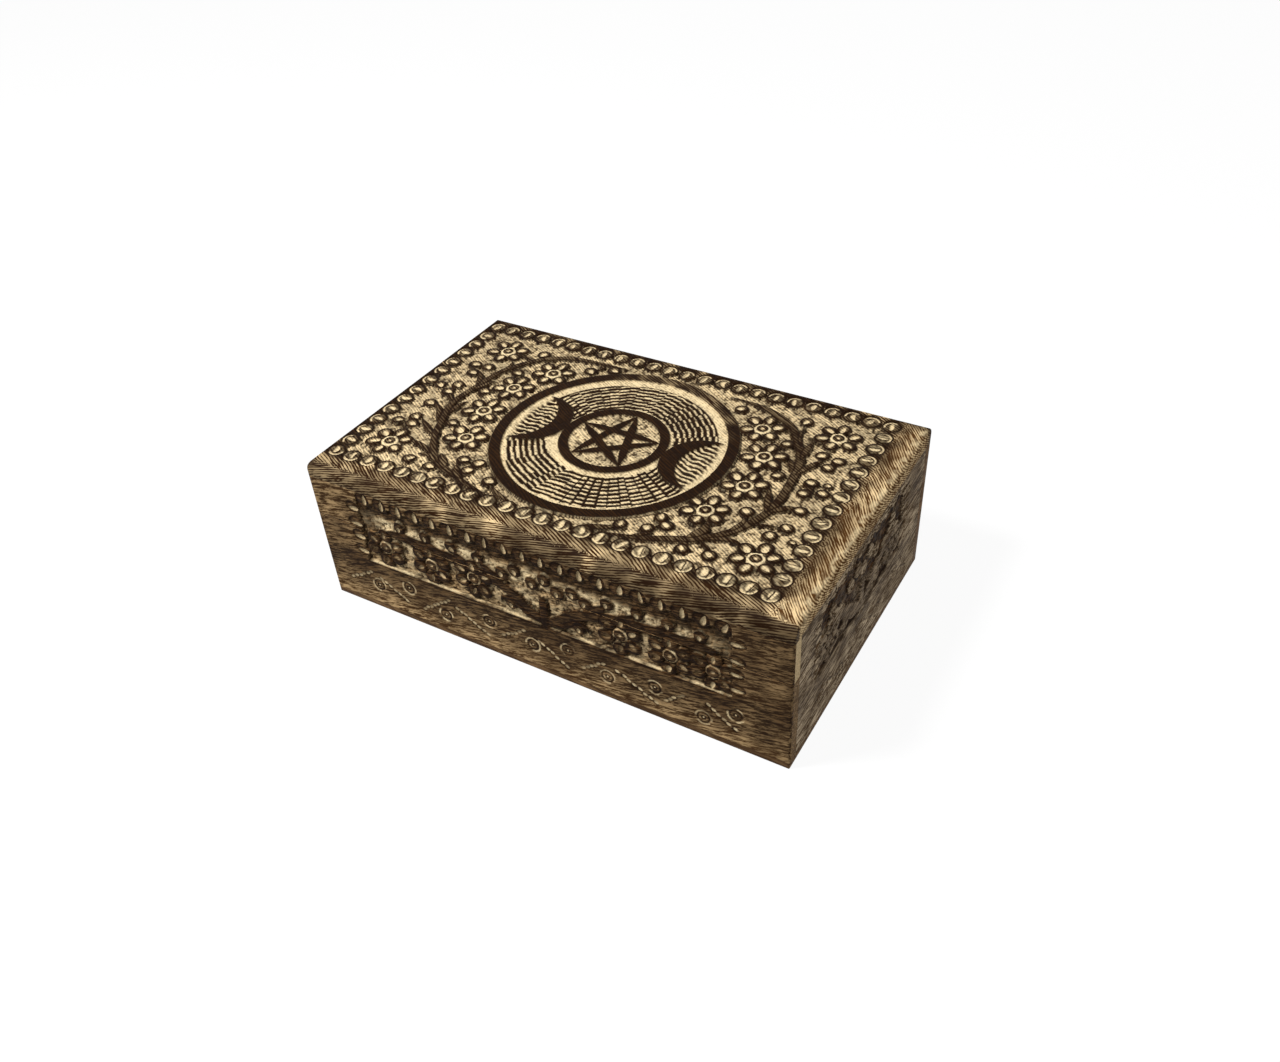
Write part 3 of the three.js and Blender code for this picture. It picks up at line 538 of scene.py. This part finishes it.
def carved_panel(name, board, place, fall, thickness, rows=slice(None), columns=slice(None), edge_tone=None):
    """A closed board with the carving on its face. place turns along, across and out into x, y and z. Its edges are
    toned like the face beside them. Where a tone is given, its ends have that and its sawn edges are nearly bare."""
    us, vs = board.us[columns], board.vs[rows]
    height = (board.height - fall)[rows, columns]
    grid = np.stack([*np.meshgrid(us, vs), height], -1).reshape(-1, 3)
    index = np.arange(len(grid)).reshape(height.shape)
    rim = np.concatenate([index[0, :-1], index[:-1, -1], index[-1, :0:-1], index[:0:-1, 0]])
    under = grid[rim].copy()
    under[:, 2] = -thickness
    points = np.stack(place(*np.concatenate([grid, under]).T), -1) * MM
    quads = np.stack([index[:-1, :-1], index[:-1, 1:], index[1:, 1:], index[1:, :-1]], -1).reshape(-1, 4)
    lower = len(grid) + np.arange(len(rim))
    sides = np.stack([rim, lower, np.roll(lower, -1), np.roll(rim, -1)], -1)
    corners = np.concatenate([quads.ravel(), sides.ravel(), lower[::-1]])
    faces = len(quads) + len(sides) + 1
    mesh = bpy.data.meshes.new(name)
    mesh.vertices.add(len(points))
    mesh.vertices.foreach_set("co", points.astype(np.float32).ravel())
    mesh.loops.add(len(corners))
    mesh.loops.foreach_set("vertex_index", corners.astype(np.int32))
    mesh.polygons.add(faces)
    mesh.polygons.foreach_set("loop_start", (4 * np.arange(faces)).astype(np.int32))
    mesh.polygons.foreach_set("use_smooth", np.arange(faces) < len(quads))
    cut, stain = (layer[rows, columns].ravel().clip(0, 1) for layer in (board.cut, board.stain))
    face_tone = np.stack([cut**EYE_GAMMA, 1 - (1 - stain) ** EYE_GAMMA, 0 * cut], -1)
    side_tone = face_tone[np.stack([rim, rim, np.roll(rim, -1), np.roll(rim, -1)], -1).ravel()]
    if edge_tone:
        side_tone[:] = edge_tone
        opposite = 4 * (len(us) + len(vs) - 2)
        for start in (0, opposite):
            side_tone[start:start + 4 * (len(us) - 1)] = SAWN_EDGE
    tone = np.ones((len(corners), 4), np.float32)
    tone[:, :3] = np.concatenate([face_tone[quads.ravel()], side_tone, np.tile((0, 0, 1), (len(lower), 1))])
    layer = mesh.color_attributes.new("tone", "FLOAT_COLOR", "CORNER")
    layer.data.foreach_set("color", tone.ravel())
    mesh.update(calc_edges=True)
    made = bpy.data.objects.new(name, mesh)
    bpy.context.scene.collection.objects.link(made)
    return made


def fit(piece, node, body, slot, *finishes):
    """Dress a piece and set it on its body, in the place of the CAD's solid."""
    for finish in finishes:
        piece.data.materials.append(finish)
    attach(piece, body)
    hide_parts(node)


def paint(*levels):
    """The linear colour of an sRGB one, given from 0 to 255."""
    return *(level / 255 / 12.92 if level < 11 else ((level / 255 + 0.055) / 1.055) ** 2.4 for level in levels), 1.0


def mixed(tree, factor, first, second):
    return put(tree, "Mix", {0: factor, 6: first, 7: second}, data_type="RGBA")[2]


def ramp(tree, value, low, high, to_low=0.0, to_high=1.0):
    inputs = {"Value": value, "From Min": low, "From Max": high, "To Min": to_low, "To Max": to_high}
    return put(tree, "MapRange", inputs, interpolation_type="SMOOTHSTEP")[0]


def noise(tree, place, scale, detail, roughness=0.5):
    return put(tree, "TexNoise", {"Vector": place, "Scale": scale, "Detail": detail, "Roughness": roughness})


def seal(tree, height, strength, depth, colour, roughness, specular=0.5, metallic=0.0):
    """End a finish with its shader, over a fine bump."""
    bump = put(tree, "Bump", {"Height": height, "Strength": strength, "Distance": depth})
    shader = put(tree, "BsdfPrincipled", {"Base Color": colour, "Roughness": roughness, "Metallic": metallic,
                                          "Specular IOR Level": specular, "Normal": bump[0]})
    put(tree, "OutputMaterial", {"Surface": shader[0]})


def shader_group(name, inputs, outputs):
    """An effect that several finishes share, with its sockets."""
    made = bpy.data.node_groups.new(name, "ShaderNodeTree")
    for socket, value in inputs.items():
        kind = {3: "Vector", 4: "Color"}[len(value)] if isinstance(value, tuple) else "Float"
        made.interface.new_socket(socket, in_out="INPUT", socket_type="NodeSocket" + kind).default_value = value
    for socket, kind in outputs.items():
        made.interface.new_socket(socket, in_out="OUTPUT", socket_type="NodeSocket" + kind)
    entry = made.nodes.new("NodeGroupInput")
    leave = made.nodes.new("NodeGroupOutput")
    return made, entry.outputs, leave.inputs


GRAIN_SWAY = (0.004, 0.004, 0.004)
FIBRE_SCALE = (75, 640, 640)
BRUSH_SCALE = (0, 8.6, 8.6)
BRUSH_DRIFT = 5.0

grain, given, gives = shader_group(
    "wood_grain",
    {"Light": WHITE, "Dark": BLACK, "Turn": (0, 0, 0), "Fineness": 1.0, "Brushing": 0.1, "Dark below": 0.43,
     "Light above": 0.6},
    {"Color": "Color", "Grain": "Float"})
place = put(grain, "TexCoord")["Object"]
sway = noise(grain, place, 28.0, 1.0)["Color"]
swayed = calc(grain, "MULTIPLY_ADD", sway, GRAIN_SWAY, place, kind="VectorMath")
turned = put(grain, "Mapping", {"Vector": swayed, "Rotation": given["Turn"]})[0]
stretched = calc(grain, "MULTIPLY", turned, FIBRE_SCALE, kind="VectorMath")
sized = put(grain, "VectorMath", {0: stretched, "Scale": given["Fineness"]}, operation="SCALE")[0]
fibres = noise(grain, sized, 1.0, 3.0, 0.8)[0]
drift = noise(grain, place, 150.0, 1.0)[0]
across = put(grain, "VectorMath", {0: sized, 1: BRUSH_SCALE}, operation="DOT_PRODUCT")["Value"]
brushed = calc(grain, "SINE", calc(grain, "MULTIPLY_ADD", drift, BRUSH_DRIFT, across))
strand = calc(grain, "MULTIPLY_ADD", brushed, given["Brushing"], fibres)
figure = noise(grain, place, 60.0, 2.0)[0]
lines = ramp(grain, strand, given["Dark below"], given["Light above"])
cloudy = ramp(grain, figure, 0.38, 0.7, 0, 0.55)
lined = mixed(grain, lines, given["Dark"], given["Light"])
grain.links.new(mixed(grain, cloudy, lined, given["Dark"]), gives["Color"])
grain.links.new(strand, gives["Grain"])

tones, given, gives = shader_group(
    "carving_tones",
    {"Wood": WHITE, "Grain": 0.5, "Stain": BLACK, "Worn stain": BLACK, "Fresh cut": WHITE, "Bare inside": WHITE},
    {"Color": "Color", "Roughness": "Float"})
tone = put(tones, "SeparateColor", {0: put(tones, "Attribute", attribute_name="tone")["Color"]})
fleck = noise(tones, put(tones, "TexCoord")["Object"], 1300.0, 2.0, 0.7)[0]
streaky = ramp(tones, given["Grain"], 0.46, 0.66, 0, 0.5)
dark = mixed(tones, streaky, given["Stain"], given["Worn stain"])
surface = mixed(tones, tone[1], given["Wood"], dark)
scuffed = mixed(tones, ramp(tones, fleck, 0.42, 0.68, 0, 0.6), given["Fresh cut"], given["Wood"])
surface = mixed(tones, tone[0], surface, scuffed)
surface = mixed(tones, tone[2], surface, given["Bare inside"])
tones.links.new(surface, gives["Color"])
tones.links.new(ramp(tones, tone[1], 0, 1, 0.8, 0.6), gives["Roughness"])

GOLD = paint(240, 209, 158)
DARK_LINES = paint(58, 33, 11)
BROWN = paint(80, 50, 20)
STAIN = paint(23, 10, 2)
WORN_STAIN = paint(56, 34, 12)
FRESH_CUT = paint(237, 215, 170)
BARE_LIGHT = paint(172, 142, 102)
BARE_DARK = paint(132, 102, 68)


def bare_wood(tree, turn):
    return put(tree, "Group", {"Light": BARE_LIGHT, "Dark": BARE_DARK, "Turn": turn, "Fineness": 0.7,
                               "Brushing": 0.02}, node_tree=grain)


def carved_wood(name, turn, light, dark, worn=WORN_STAIN, brushing=0.1, fineness=1.0, lie=0.0, lines=(0.44, 0.62)):
    """Stained and carved hardwood, with its outer fibres turned by so many radians about each axis, and the board's
    own grain by its lie about the upright one."""
    made, tree = blank_finish(name)
    wood = put(tree, "Group", {"Light": light, "Dark": dark, "Turn": turn, "Fineness": fineness, "Brushing": brushing,
                               "Dark below": lines[0], "Light above": lines[1]}, node_tree=grain)
    bare = bare_wood(tree, (0, 0, lie))
    toned = put(tree, "Group", {"Wood": wood["Color"], "Grain": wood["Grain"], "Stain": STAIN, "Worn stain": worn,
                                "Fresh cut": FRESH_CUT, "Bare inside": bare["Color"]}, node_tree=tones)
    seal(tree, wood["Grain"], 0.4, 0.00025, toned["Color"], toned["Roughness"], 0.04)
    return made


top = carve_top()
top_fall = np.maximum(arris_drop(top.us, END_ROUND, END_ROUND)[None, :],
                      arris_drop(top.vs, FRONT_ROUND, BACK_ROUND)[:, None])


def on_lid_top(u, v, out):
    """Lay the board on the lid, with its upright corners rounded."""
    past_u, past_v = np.abs(u) - HALF_LENGTH + CORNER_ROUND, np.abs(v) - HALF_WIDTH + CORNER_ROUND
    crop = np.maximum(1 - CORNER_ROUND / np.hypot(past_u, past_v), 0) * (past_u > 0) * (past_v > 0)
    return u - np.sign(u) * past_u * crop, v - np.sign(v) * past_v * crop, out + TOP_OF_LID


top_finishes = [carved_wood("lid_top_wood", (0, 0, radians(30)), GOLD, DARK_LINES),
                carved_wood("rubbed_arris_wood", (0, radians(9), radians(-9)), GOLD, DARK_LINES),
                carved_wood("right_margin_wood", (0, 0, radians(54)), GOLD, BROWN, fineness=1.25,
                            lines=(0.42, 0.67))]


def rub(piece):
    """The margins were rubbed in other directions than the middle: along the front and back arrises, and across the
    right end."""
    centres = np.empty(3 * len(piece.data.polygons))
    piece.data.polygons.foreach_get("center", centres)
    x, y = (centres.reshape(-1, 3) / MM).T[:2]
    front_arris = y < ARRIS_EDGE + 0.5 * chance.standard_normal(len(y))
    which = np.where(front_arris | (y > HALF_WIDTH - BACK_ROUND), 1, 0)
    which[(x > RIGHT_MARGIN + 1.2 * chance.standard_normal(len(x))) & (which == 0)] = 2
    piece.data.polygons.foreach_set("material_index", which.astype(np.int32))


seams = [0, *np.searchsorted(top.us, (-STRIP_EDGE, STRIP_EDGE)), len(top.us) - 1]
for part, first, last in zip(("left", "middle", "right"), seams, seams[1:]):
    piece = carved_panel(f"lid_top_{part}", top, on_lid_top, top_fall, TOP_THICK, columns=slice(first, last + 1))
    rub(piece)
    fit(piece, "lid_top_board", "lid", "carved_wood", *top_finishes)


# Front boards
# The front is one 5 mm board, carved as one and then sawn through above the middle, so the lower part goes to the
# base and the upper part to the lid. A band of petals, berries, flowers and a branching tree is cut into it, and
# the plain wood below is punched with a dashed wave and ringed dots.
WALL = 5.0
FOOT = 3.0
SAW_LINE = 41.0
SAW = (40.85, 41.15)
LID_FOOT = 59.0
BAND = (25.1, 53.4)
FRONT_HALF = 79.5
FRONT_PETALS = (-75.2, 7.98, 20)
PETAL_ROW = 55.9
END_PETAL_ROW = (50.6, 42.8, 36.9, 29.6)
PUNCH = 3.2
DASH_PITCH = 2.35
FRONT_WAVE = [((-91, 11.8), (-80.3, 18.2)), ((-74.9, 16.4), (-63.5, 9.6)), ((-54.9, 9.3), (-41.4, 18.9)),
              ((-37.8, 16.4), (-24.2, 8.6)), ((-16.4, 11.8), (-6.4, 17.9)), ((0, 15.7), (11.4, 8.2)),
              ((19.3, 11), (28.2, 17.1)), ((34.3, 16), (49.3, 7.5)), ((53.9, 10.7), (60.7, 16.4)),
              ((70.4, 16.4), (80.7, 9.6))]
BOUGH = [(0, 1.2), (4.6, 3.9), (9, 7.2), (13.6, 10.6), (23.5, 14.3), (34.4, 16.4), (48.5, 17.6), (62, 18.2), (71, 18.6)]
CURL = [(1, 1), (7, 2.6), (11, 5.4), (14.8, 7.6), (18.2, 6.6), (19.2, 3.6)]
STALK = ((11, 6.4), (6, 4.9), (1.5, 2.6))
STALKED = [(27.6, 47), (39.5, 47.6), (51.6, 47.6), (63.6, 47.6)]
SCOOP = (0.3, -0.12, 0.42, 0.34)
FRONT_LIGHT = paint(202, 169, 122)
FRONT_DARK = paint(74, 50, 27)
WALL_STAIN = paint(112, 80, 48)
WALL_LINES = (0.43, 0.6)


base_stops, lid_stops = stations(FOOT, SAW[0]), stations(SAW[1], LID_FOOT)
wall_stops = np.concatenate([base_stops, lid_stops])


def punch_ring(board, u, v):
    """A ring with a dot in the middle, struck with a punch."""
    patch, du, dv = board.window(u, v, PUNCH + 1)
    distance = np.hypot(du, dv)
    gap = rise(-2.6, -1.9, np.arctan2(dv, du + 0 * dv) + chance.uniform(-0.5, 3))
    outer_moat = rise(0.5, 0.15, np.abs(distance - PUNCH + 0.85))
    moat = np.maximum(outer_moat, rise(0.45, 0.15, np.abs(distance - 0.75)))
    worn = rise(-1.4, 0.4, mottle(distance, 2)) * chance.uniform(0.65, 1)
    ring = rise(0.48, 0.24, np.abs(distance - PUNCH + 0.05)) * (0.4 + 0.6 * gap) * worn
    cup = rise(0.4, 0.1, np.abs(distance - 1.4)) * (1 - 0.8 * gap)
    board.lay(patch, 0.85 * moat, -0.3, 0, 0.9)
    board.lay(patch, np.maximum.reduce([ring, 0.8 * cup, rise(0.5, 0.25, distance)]), -0.15, 0.95, 0)


def punch_wave(board, runs, rings):
    """Short slanting punch marks in straight runs, which rise and fall by turns like a wave, with rings between."""
    for (u0, v0), (u1, v1) in runs:
        slope = atan2(v1 - v0, u1 - u0)
        count = round(hypot(u1 - u0, v1 - v0) / DASH_PITCH)
        for step in range(count + 1):
            mark_u = u0 + (u1 - u0) * step / count + chance.normal(0, 0.2)
            mark_v = v0 + (v1 - v0) * step / count + chance.normal(0, 0.25)
            patch, du, dv = board.window(mark_u, mark_v, 2.4)
            along, across = along_across(du, dv, slope)
            strength = (1 if slope < 0 else 0.8) - 0.4 * chance.random()
            shadow = rise(1.15, 0.85, np.hypot(along / 1.3, across + 0.35))
            board.lay(patch, shadow * strength, -0.3, 0, 0.85)
            dash = rise(1.15, 0.85, np.hypot(along / 1.05, (across - 0.1) / 0.74))
            board.lay(patch, dash * strength, -0.2, 1.0, 0)
            board.keep_unshaded_and_clean(patch, dash)
    for u, v in rings:
        punch_ring(board, u, v)


def carve_tree(board, root, spread):
    """A trunk with a bough to each side, two curls at its foot and a crown of berries."""
    for side, reach in zip((-1, 1), spread):
        stem(board, 4.6, [(root + side * u, BAND[0] + v) for u, v in BOUGH if u < reach], (0.1, 0.12), 0.75)
        for u, v in STALKED:
            if u < reach:
                stem(board, 3.2, [(root + side * (u - back), v - fall) for back, fall in STALK], (0.4, 0.1), 0.8)
                drop(board, root + side * u, v, 5.8, -pi / 2, 0.2, SCOOP, 0.06)
        stem(board, 2.7, [(root + side * u, BAND[0] + v) for u, v in CURL], (0.25, 0.4), 0.9)
        drop(board, root + side * 15, BAND[0] + 4.6, 5.2, -pi / 2, 0.2, SCOOP, 0.06)
    stem(board, 3.9, [(root, BAND[0] + up) for up in (-0.4, 6, 13.2)], (0.05, 0.1), 0.95)


def carve_wall(board, centre, half, petals, flowers, berries, root, spread):
    """The band of a wall: petals along its top and ends, berries and flowers between the boughs of a tree."""
    us, vs = board.grid()
    aside = np.abs(us - centre)
    inside = np.minimum.reduce([half - aside, vs - BAND[0], BAND[1] + 1.6 - vs])
    lit = rise(41.5, 43.5, vs) * rise(50, 47, vs) * (inside > 1.2)
    board.sink_ground(rise(-0.12, EDGE, inside), np.clip(0.54 + 0.16 * mottle(board, 7) + 0.45 * lit, 0, 1.1))
    board.clean[:] = 0.75 * lit
    ends = rise(14, 4, half - aside) * rise(36, 43, vs)
    under_row = rise(BAND[1] - 6.6, BAND[1] - 2.6, vs + 0.5 * mottle(board, 3))
    shaded = np.maximum(under_row, 0.8 * ends) * (inside > 0)
    board.cut *= 1 - 0.8 * shaded
    board.stain = np.maximum(board.stain, 0.74 * shaded)
    carve_tree(board, root, spread)
    for u, v in flowers:
        flower(board, u, v, radians(84), 6.1, (-0.1, 0.1, 0.52, 0.26), 0.9, eye=2.45, blush=0.06)
    for u, v in berries:
        drop(board, u, v, 6, -pi / 2, 0.3, SCOOP, 0.06)
    start, pitch, count = petals
    for i in range(count):
        lean = pi / 2 - 0.4 * rise(count - 3.5, count - 1, i)
        petal(board, start + pitch * i, PETAL_ROW, 6.5, 6.6, lean, (-0.05, -0.25, 0.74, 0.27), 0.6, 1.0, blush=0)
    for side in (-1, 1):
        for v in END_PETAL_ROW:
            petal(board, centre + side * (half + 2), v, 6.6, 5.4, pi * (side < 0),
                  (0.0, -0.3 * side, 0.8, 0.34), 0.5, 0.75, blush=0)
    board.weather(1)
    # Painted highlight: the band's bottom edge is lit pale, with a painted shadow drawn just below it.
    lit_ledge = rise(0.45, 0.2, np.abs(vs - BAND[0] - 0.1)) * (aside < half) * rise(6, 11, np.abs(us - root))
    board.lay(EVERYWHERE, lit_ledge * rise(-0.9, 0.5, mottle(board, 5)), -0.5, 0.9, 0)
    shadow = rise(0.5, 0.15, np.abs(vs - BAND[0] + 0.75)) * (aside < half)
    board.lay(EVERYWHERE, 0.8 * shadow, -0.1, 0, 0.95)


def wall_tone(board, lid_stain, base_stain):
    """The stain on the plain wood of a wall, in shares at its two ends, with a rubbed foot."""
    vs = board.vs[:, None]
    on_lid, on_base = (np.interp(board.us, board.us[[0, -1]], stain) for stain in (lid_stain, base_stain))
    under_band = 0.22 * rise(15, 21, vs) * rise(29, 25, vs)
    tone = np.where(vs > SAW_LINE, on_lid, on_base * rise(4, 12, vs) + under_band)
    saw_dirt = 0.85 * rise(0.7, 0.3, np.abs(vs - SAW_LINE))
    board.stain[:] = np.clip(np.maximum(tone + 0.06 * mottle(board, 6), saw_dirt), 0, 1)


def sawn_walls(side, board, place, fall, finish, edge_tones):
    """The base's part and the lid's part of a carved wall."""
    cut = len(base_stops)
    for body, rows, edge_tone in (("base", slice(0, cut), edge_tones[0]), ("lid", slice(cut, None), edge_tones[1])):
        piece = carved_panel(f"{body}_{side}_carved", board, place, fall, WALL, rows=rows, edge_tone=edge_tone)
        fit(piece, f"{body}_{side}_board", body, "carved_wood", finish)


front = Carving(stations(-HALF_LENGTH, HALF_LENGTH, CORNER_ROUND, CORNER_ROUND), wall_stops)
wall_tone(front, (0.22, 0.52), (0.4, 0.36))
carve_wall(front, 0, FRONT_HALF, FRONT_PETALS,
           [(-69, 34.6), (-46.9, 34.2), (-26.9, 35.6), (36, 34.2), (55.8, 33.2), (72.3, 33.2)],
           [(-13, 43.8), (-7, 46.9), (0, 43.8), (5.8, 47.3), (10.8, 43.5), (17.2, 45.8), (22.6, 43.2)],
           4.1, (78, 74))
punch_wave(front, FRONT_WAVE, [(-77.1, 12.8), (-61, 17.5), (-44, 10.6), (-22.5, 16.2), (-2.9, 12.8), (13, 16.8),
                               (29.5, 11.2), (49.3, 15.2), (68.6, 9.6), (81.1, 16.8)])
front_wood = carved_wood("front_wood", (0, radians(12), 0), FRONT_LIGHT, FRONT_DARK, WALL_STAIN, 0.0, 1.9,
                         0.0, WALL_LINES)
sawn_walls("front", front, lambda u, v, out: (u, -HALF_WIDTH - out, v),
           arris_drop(front.us, CORNER_ROUND, CORNER_ROUND), front_wood, ((0, 0.6, 0.15), (0.68, 0, 0.2)))


# End boards
# The two ends are butted between the front and the back. They carry a shorter band of the same carving and a length
# of the punched wave, and were stained after it, so that here the cuts are dark and what stands is as light as the
# plain wood. The right end, in half shade, is painted in paler and greyer wood colours than the lit left end.
END_HALF = 57.4
END_CENTRE = -1.8
END_BAND_HALF = 38.5
END_PETALS = (-37.7, 7.98, 10)
END_WAVE = [((-48, 9.4), (-36, 18)), ((-32, 16), (-20, 8.4)), ((-13, 9), (-1, 17.8)), ((3, 15.6), (15, 8.2)),
            ((22, 9.2), (33, 17.6)), ((37, 15.6), (47, 9))]
# Painted light: the half-shaded right end's wood, paler and greyer than the front's colours that the lit left end
# takes.
HALF_SHADE_END_LIGHT = paint(222, 200, 168)
HALF_SHADE_END_DARK = paint(84, 65, 44)
END_EDGE = (0, 0.2, 0.4)


def carve_end():
    board = Carving(stations(-END_HALF, END_HALF), wall_stops)
    wall_tone(board, (0.3, 0.3), (0.12, 0.1))
    plain = board.stain.copy()
    carve_wall(board, END_CENTRE, END_BAND_HALF, END_PETALS,
               [(-31.5, 34.4), (27.5, 34)],
               [(-13.5, 44.6), (-7.6, 47.6), (-1.8, 44.4), (4.2, 47.8), (10, 44.4)],
               -1.8, (37, 37))
    punch_wave(board, END_WAVE, [(-38, 12.6), (-20, 9.4), (-4, 16.6), (15.6, 10.2), (33, 15.8)])
    pocket = rise(-0.35, -0.7, board.height) * np.clip(0.9 + 0.3 * mottle(board, 4), 0, 1)
    standing = np.where(board.stain == plain, plain, 0.45 * plain)
    # Painted shade: the carved band below the saw cut is darkened.
    lower = 0.32 * rise(23, 27, board.vs[:, None]) * rise(42, 40, board.vs[:, None])
    lower = lower * rise(2, -1, np.abs(board.us - END_CENTRE)[None, :] - END_BAND_HALF)
    board.stain = np.maximum.reduce([pocket, 0.7 * board.cut, standing + lower * (1 - standing)])
    board.cut *= 0.1
    return board


# The lit left end takes the front's colours; the half-shaded right end takes the paler, greyer painted ones.
for side, sign, light, dark in (("right", 1, HALF_SHADE_END_LIGHT, HALF_SHADE_END_DARK), ("left", -1, FRONT_LIGHT, FRONT_DARK)):
    end_wood = carved_wood(f"{side}_end_wood", (0, radians(-14), radians(90)), light, dark, WALL_STAIN, 0.0,
                           1.8, radians(90), WALL_LINES)
    sawn_walls(side, carve_end(), lambda u, v, out: (sign * (HALF_LENGTH + out), sign * u, v), 0.0, end_wood,
               (END_EDGE, END_EDGE))


# Back boards
# The back is plain: one board sawn through like the front, stained outside and left bare within. Four shallow beds
# are chopped into it at the saw cut, so that the hinge leaves lie almost flush.
BACK_EASE = 0.35
EDGE_STEPS = 2
INSIDE_MIDDLE = (0, 0, 0.031)
INSIDE_HALF = (0.0967, 0.0577, 0.0283)
STAINED_LIGHT = paint(122, 94, 62)
STAINED_DARK = paint(72, 50, 29)

inner, given, gives = shader_group(
    "inside_of_the_box", {"Middle": (0, 0, 0), "Half size": (1, 1, 1)}, {"Inside": "Float", "Corner": "Float"})
place = put(inner, "TexCoord")["Object"]
out = calc(inner, "SUBTRACT", place, given["Middle"], kind="VectorMath")
out = calc(inner, "ABSOLUTE", out, kind="VectorMath")
out = put(inner, "SeparateXYZ", {0: calc(inner, "DIVIDE", out, given["Half size"], kind="VectorMath")})
widest = calc(inner, "MAXIMUM", calc(inner, "MAXIMUM", out[0], out[1]), out[2])
inner.links.new(calc(inner, "LESS_THAN", widest, 1.0), gives["Inside"])
inner.links.new(ramp(inner, widest, 0.9, 1.0), gives["Corner"])


def plain_wood(name, turn):
    """Uncarved hardwood: stained outside the box, bare within it, and darkened towards its inner walls and corners by
    dust and painted shade.
    """
    made, tree = blank_finish(name)
    bare = bare_wood(tree, turn)
    stained = put(tree, "Group", {"Light": STAINED_LIGHT, "Dark": STAINED_DARK, "Turn": turn, "Fineness": 1.0,
                                  "Brushing": 0.0}, node_tree=grain)
    where = put(tree, "Group", {"Middle": INSIDE_MIDDLE, "Half size": INSIDE_HALF}, node_tree=inner)
    blotch = noise(tree, put(tree, "TexCoord")["Object"], 45.0, 4.0)[0]
    # Dust and painted shade darken the bare wood in blotches near the inside faces of the box.
    dust_and_shade = calc(tree, "MULTIPLY", where["Corner"], ramp(tree, blotch, 0.35, 0.7, 0.1, 0.55))
    dusted_and_shaded = mixed(tree, dust_and_shade, bare["Color"], BROWN)
    worn = mixed(tree, ramp(tree, blotch, 0.5, 0.75, 0, 0.5), stained["Color"], STAIN)
    seal(tree, bare["Grain"], 0.35, 0.0002, mixed(tree, where["Inside"], worn, dusted_and_shaded),
         ramp(tree, where["Inside"], 0, 1, 0.62, 0.82), 0.08)
    return made


def ease_part(node, name, ease, body, slot, finish):
    """Dress a part as it was sawn or cast, with its sharp edges eased by so many millimetres."""
    bpy.ops.object.select_all(action="DESELECT")
    made = bpy.data.objects.new(name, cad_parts[node].data.copy())
    made.data.materials.clear()
    bpy.context.scene.collection.objects.link(made)
    bpy.context.view_layer.objects.active = made
    made.select_set(True)
    bpy.ops.object.mode_set(mode="EDIT")
    bpy.ops.mesh.select_all(action="SELECT")
    bpy.ops.mesh.remove_doubles(threshold=1e-6)
    bpy.ops.mesh.dissolve_limited(angle_limit=radians(0.5))
    bpy.ops.object.mode_set(mode="OBJECT")
    bpy.ops.object.modifier_add(type="BEVEL")
    bevel = made.modifiers[-1]
    bevel.width = ease * MM
    bevel.segments = EDGE_STEPS
    bevel.limit_method = "ANGLE"
    bevel.angle_limit = radians(40)
    bpy.ops.object.modifier_apply(modifier=bevel.name)
    bpy.ops.object.shade_smooth_by_angle(angle=radians(32))
    fit(made, node, body, slot, finish)


long_wood = plain_wood("plain_wood_lengthwise", (0, 0, 0))
for body in ("base", "lid"):
    ease_part(f"{body}_back_board", f"{body}_back_plain", BACK_EASE, body, "plain_wood", long_wood)


# Bottom board
# A 3 mm hardwood sheet glued up against the underside of the walls. Its edge is sanded flush with them and stained
# with the outside, and its upper face is the floor of the compartments.
SHEET_EASE = 0.2

ease_part("bottom_board", "bottom_sheet", SHEET_EASE, "base", "plain_wood", long_wood)


# Compartment dividers
# Three thin slats, one along the box and two across, housed in grooves in the walls and halved over each other, so
# that they stand in the base without glue. They are planed but not stained.
SLAT_EASE = 0.3

cross_wood = plain_wood("plain_wood_crosswise", (0, 0, radians(90)))
ease_part("long_divider", "long_slat", SLAT_EASE, "base", "plain_wood", long_wood)
for side in ("left", "right"):
    ease_part(f"cross_divider_{side}", f"cross_slat_{side}", SLAT_EASE, "base", "plain_wood", cross_wood)


# Hinges and nails
# Two small butt hinges are bent from brass sheet round a wire pin, and each leaf is held by two brass nails sunk
# flush. The brass has gone brown in spots.
BRASS = paint(196, 158, 92)
TARNISH = paint(92, 70, 42)
DRAWN_SCALE = (300, 4000, 4000)
BRASS_EASE = 0.12
NAIL_EASE = 0.08

aged_brass, tree = blank_finish("aged_brass")
place = put(tree, "TexCoord")["Object"]
browned = ramp(tree, noise(tree, place, 420.0, 5.0, 0.65)[0], 0.38, 0.66)
scratch = noise(tree, calc(tree, "MULTIPLY", place, DRAWN_SCALE, kind="VectorMath"), 1.0, 3.0)[0]
seal(tree, scratch, 0.3, 0.00005, mixed(tree, browned, BRASS, TARNISH), ramp(tree, browned, 0, 1, 0.32, 0.58),
     metallic=1.0)
for side in ("left", "right"):
    ease_part(f"{side}_hinge_pin", f"{side}_wire_pin", BRASS_EASE, "base", "aged_brass", aged_brass)
    for body in ("base", "lid"):
        ease_part(f"{side}_hinge_{body}_leaf", f"{side}_{body}_leaf", BRASS_EASE, body, "aged_brass", aged_brass)
        for count in (1, 2):
            nail = f"{side}_{body}_nail_{count}"
            ease_part(nail, f"{nail}_countersunk", NAIL_EASE, body, "aged_brass", aged_brass)
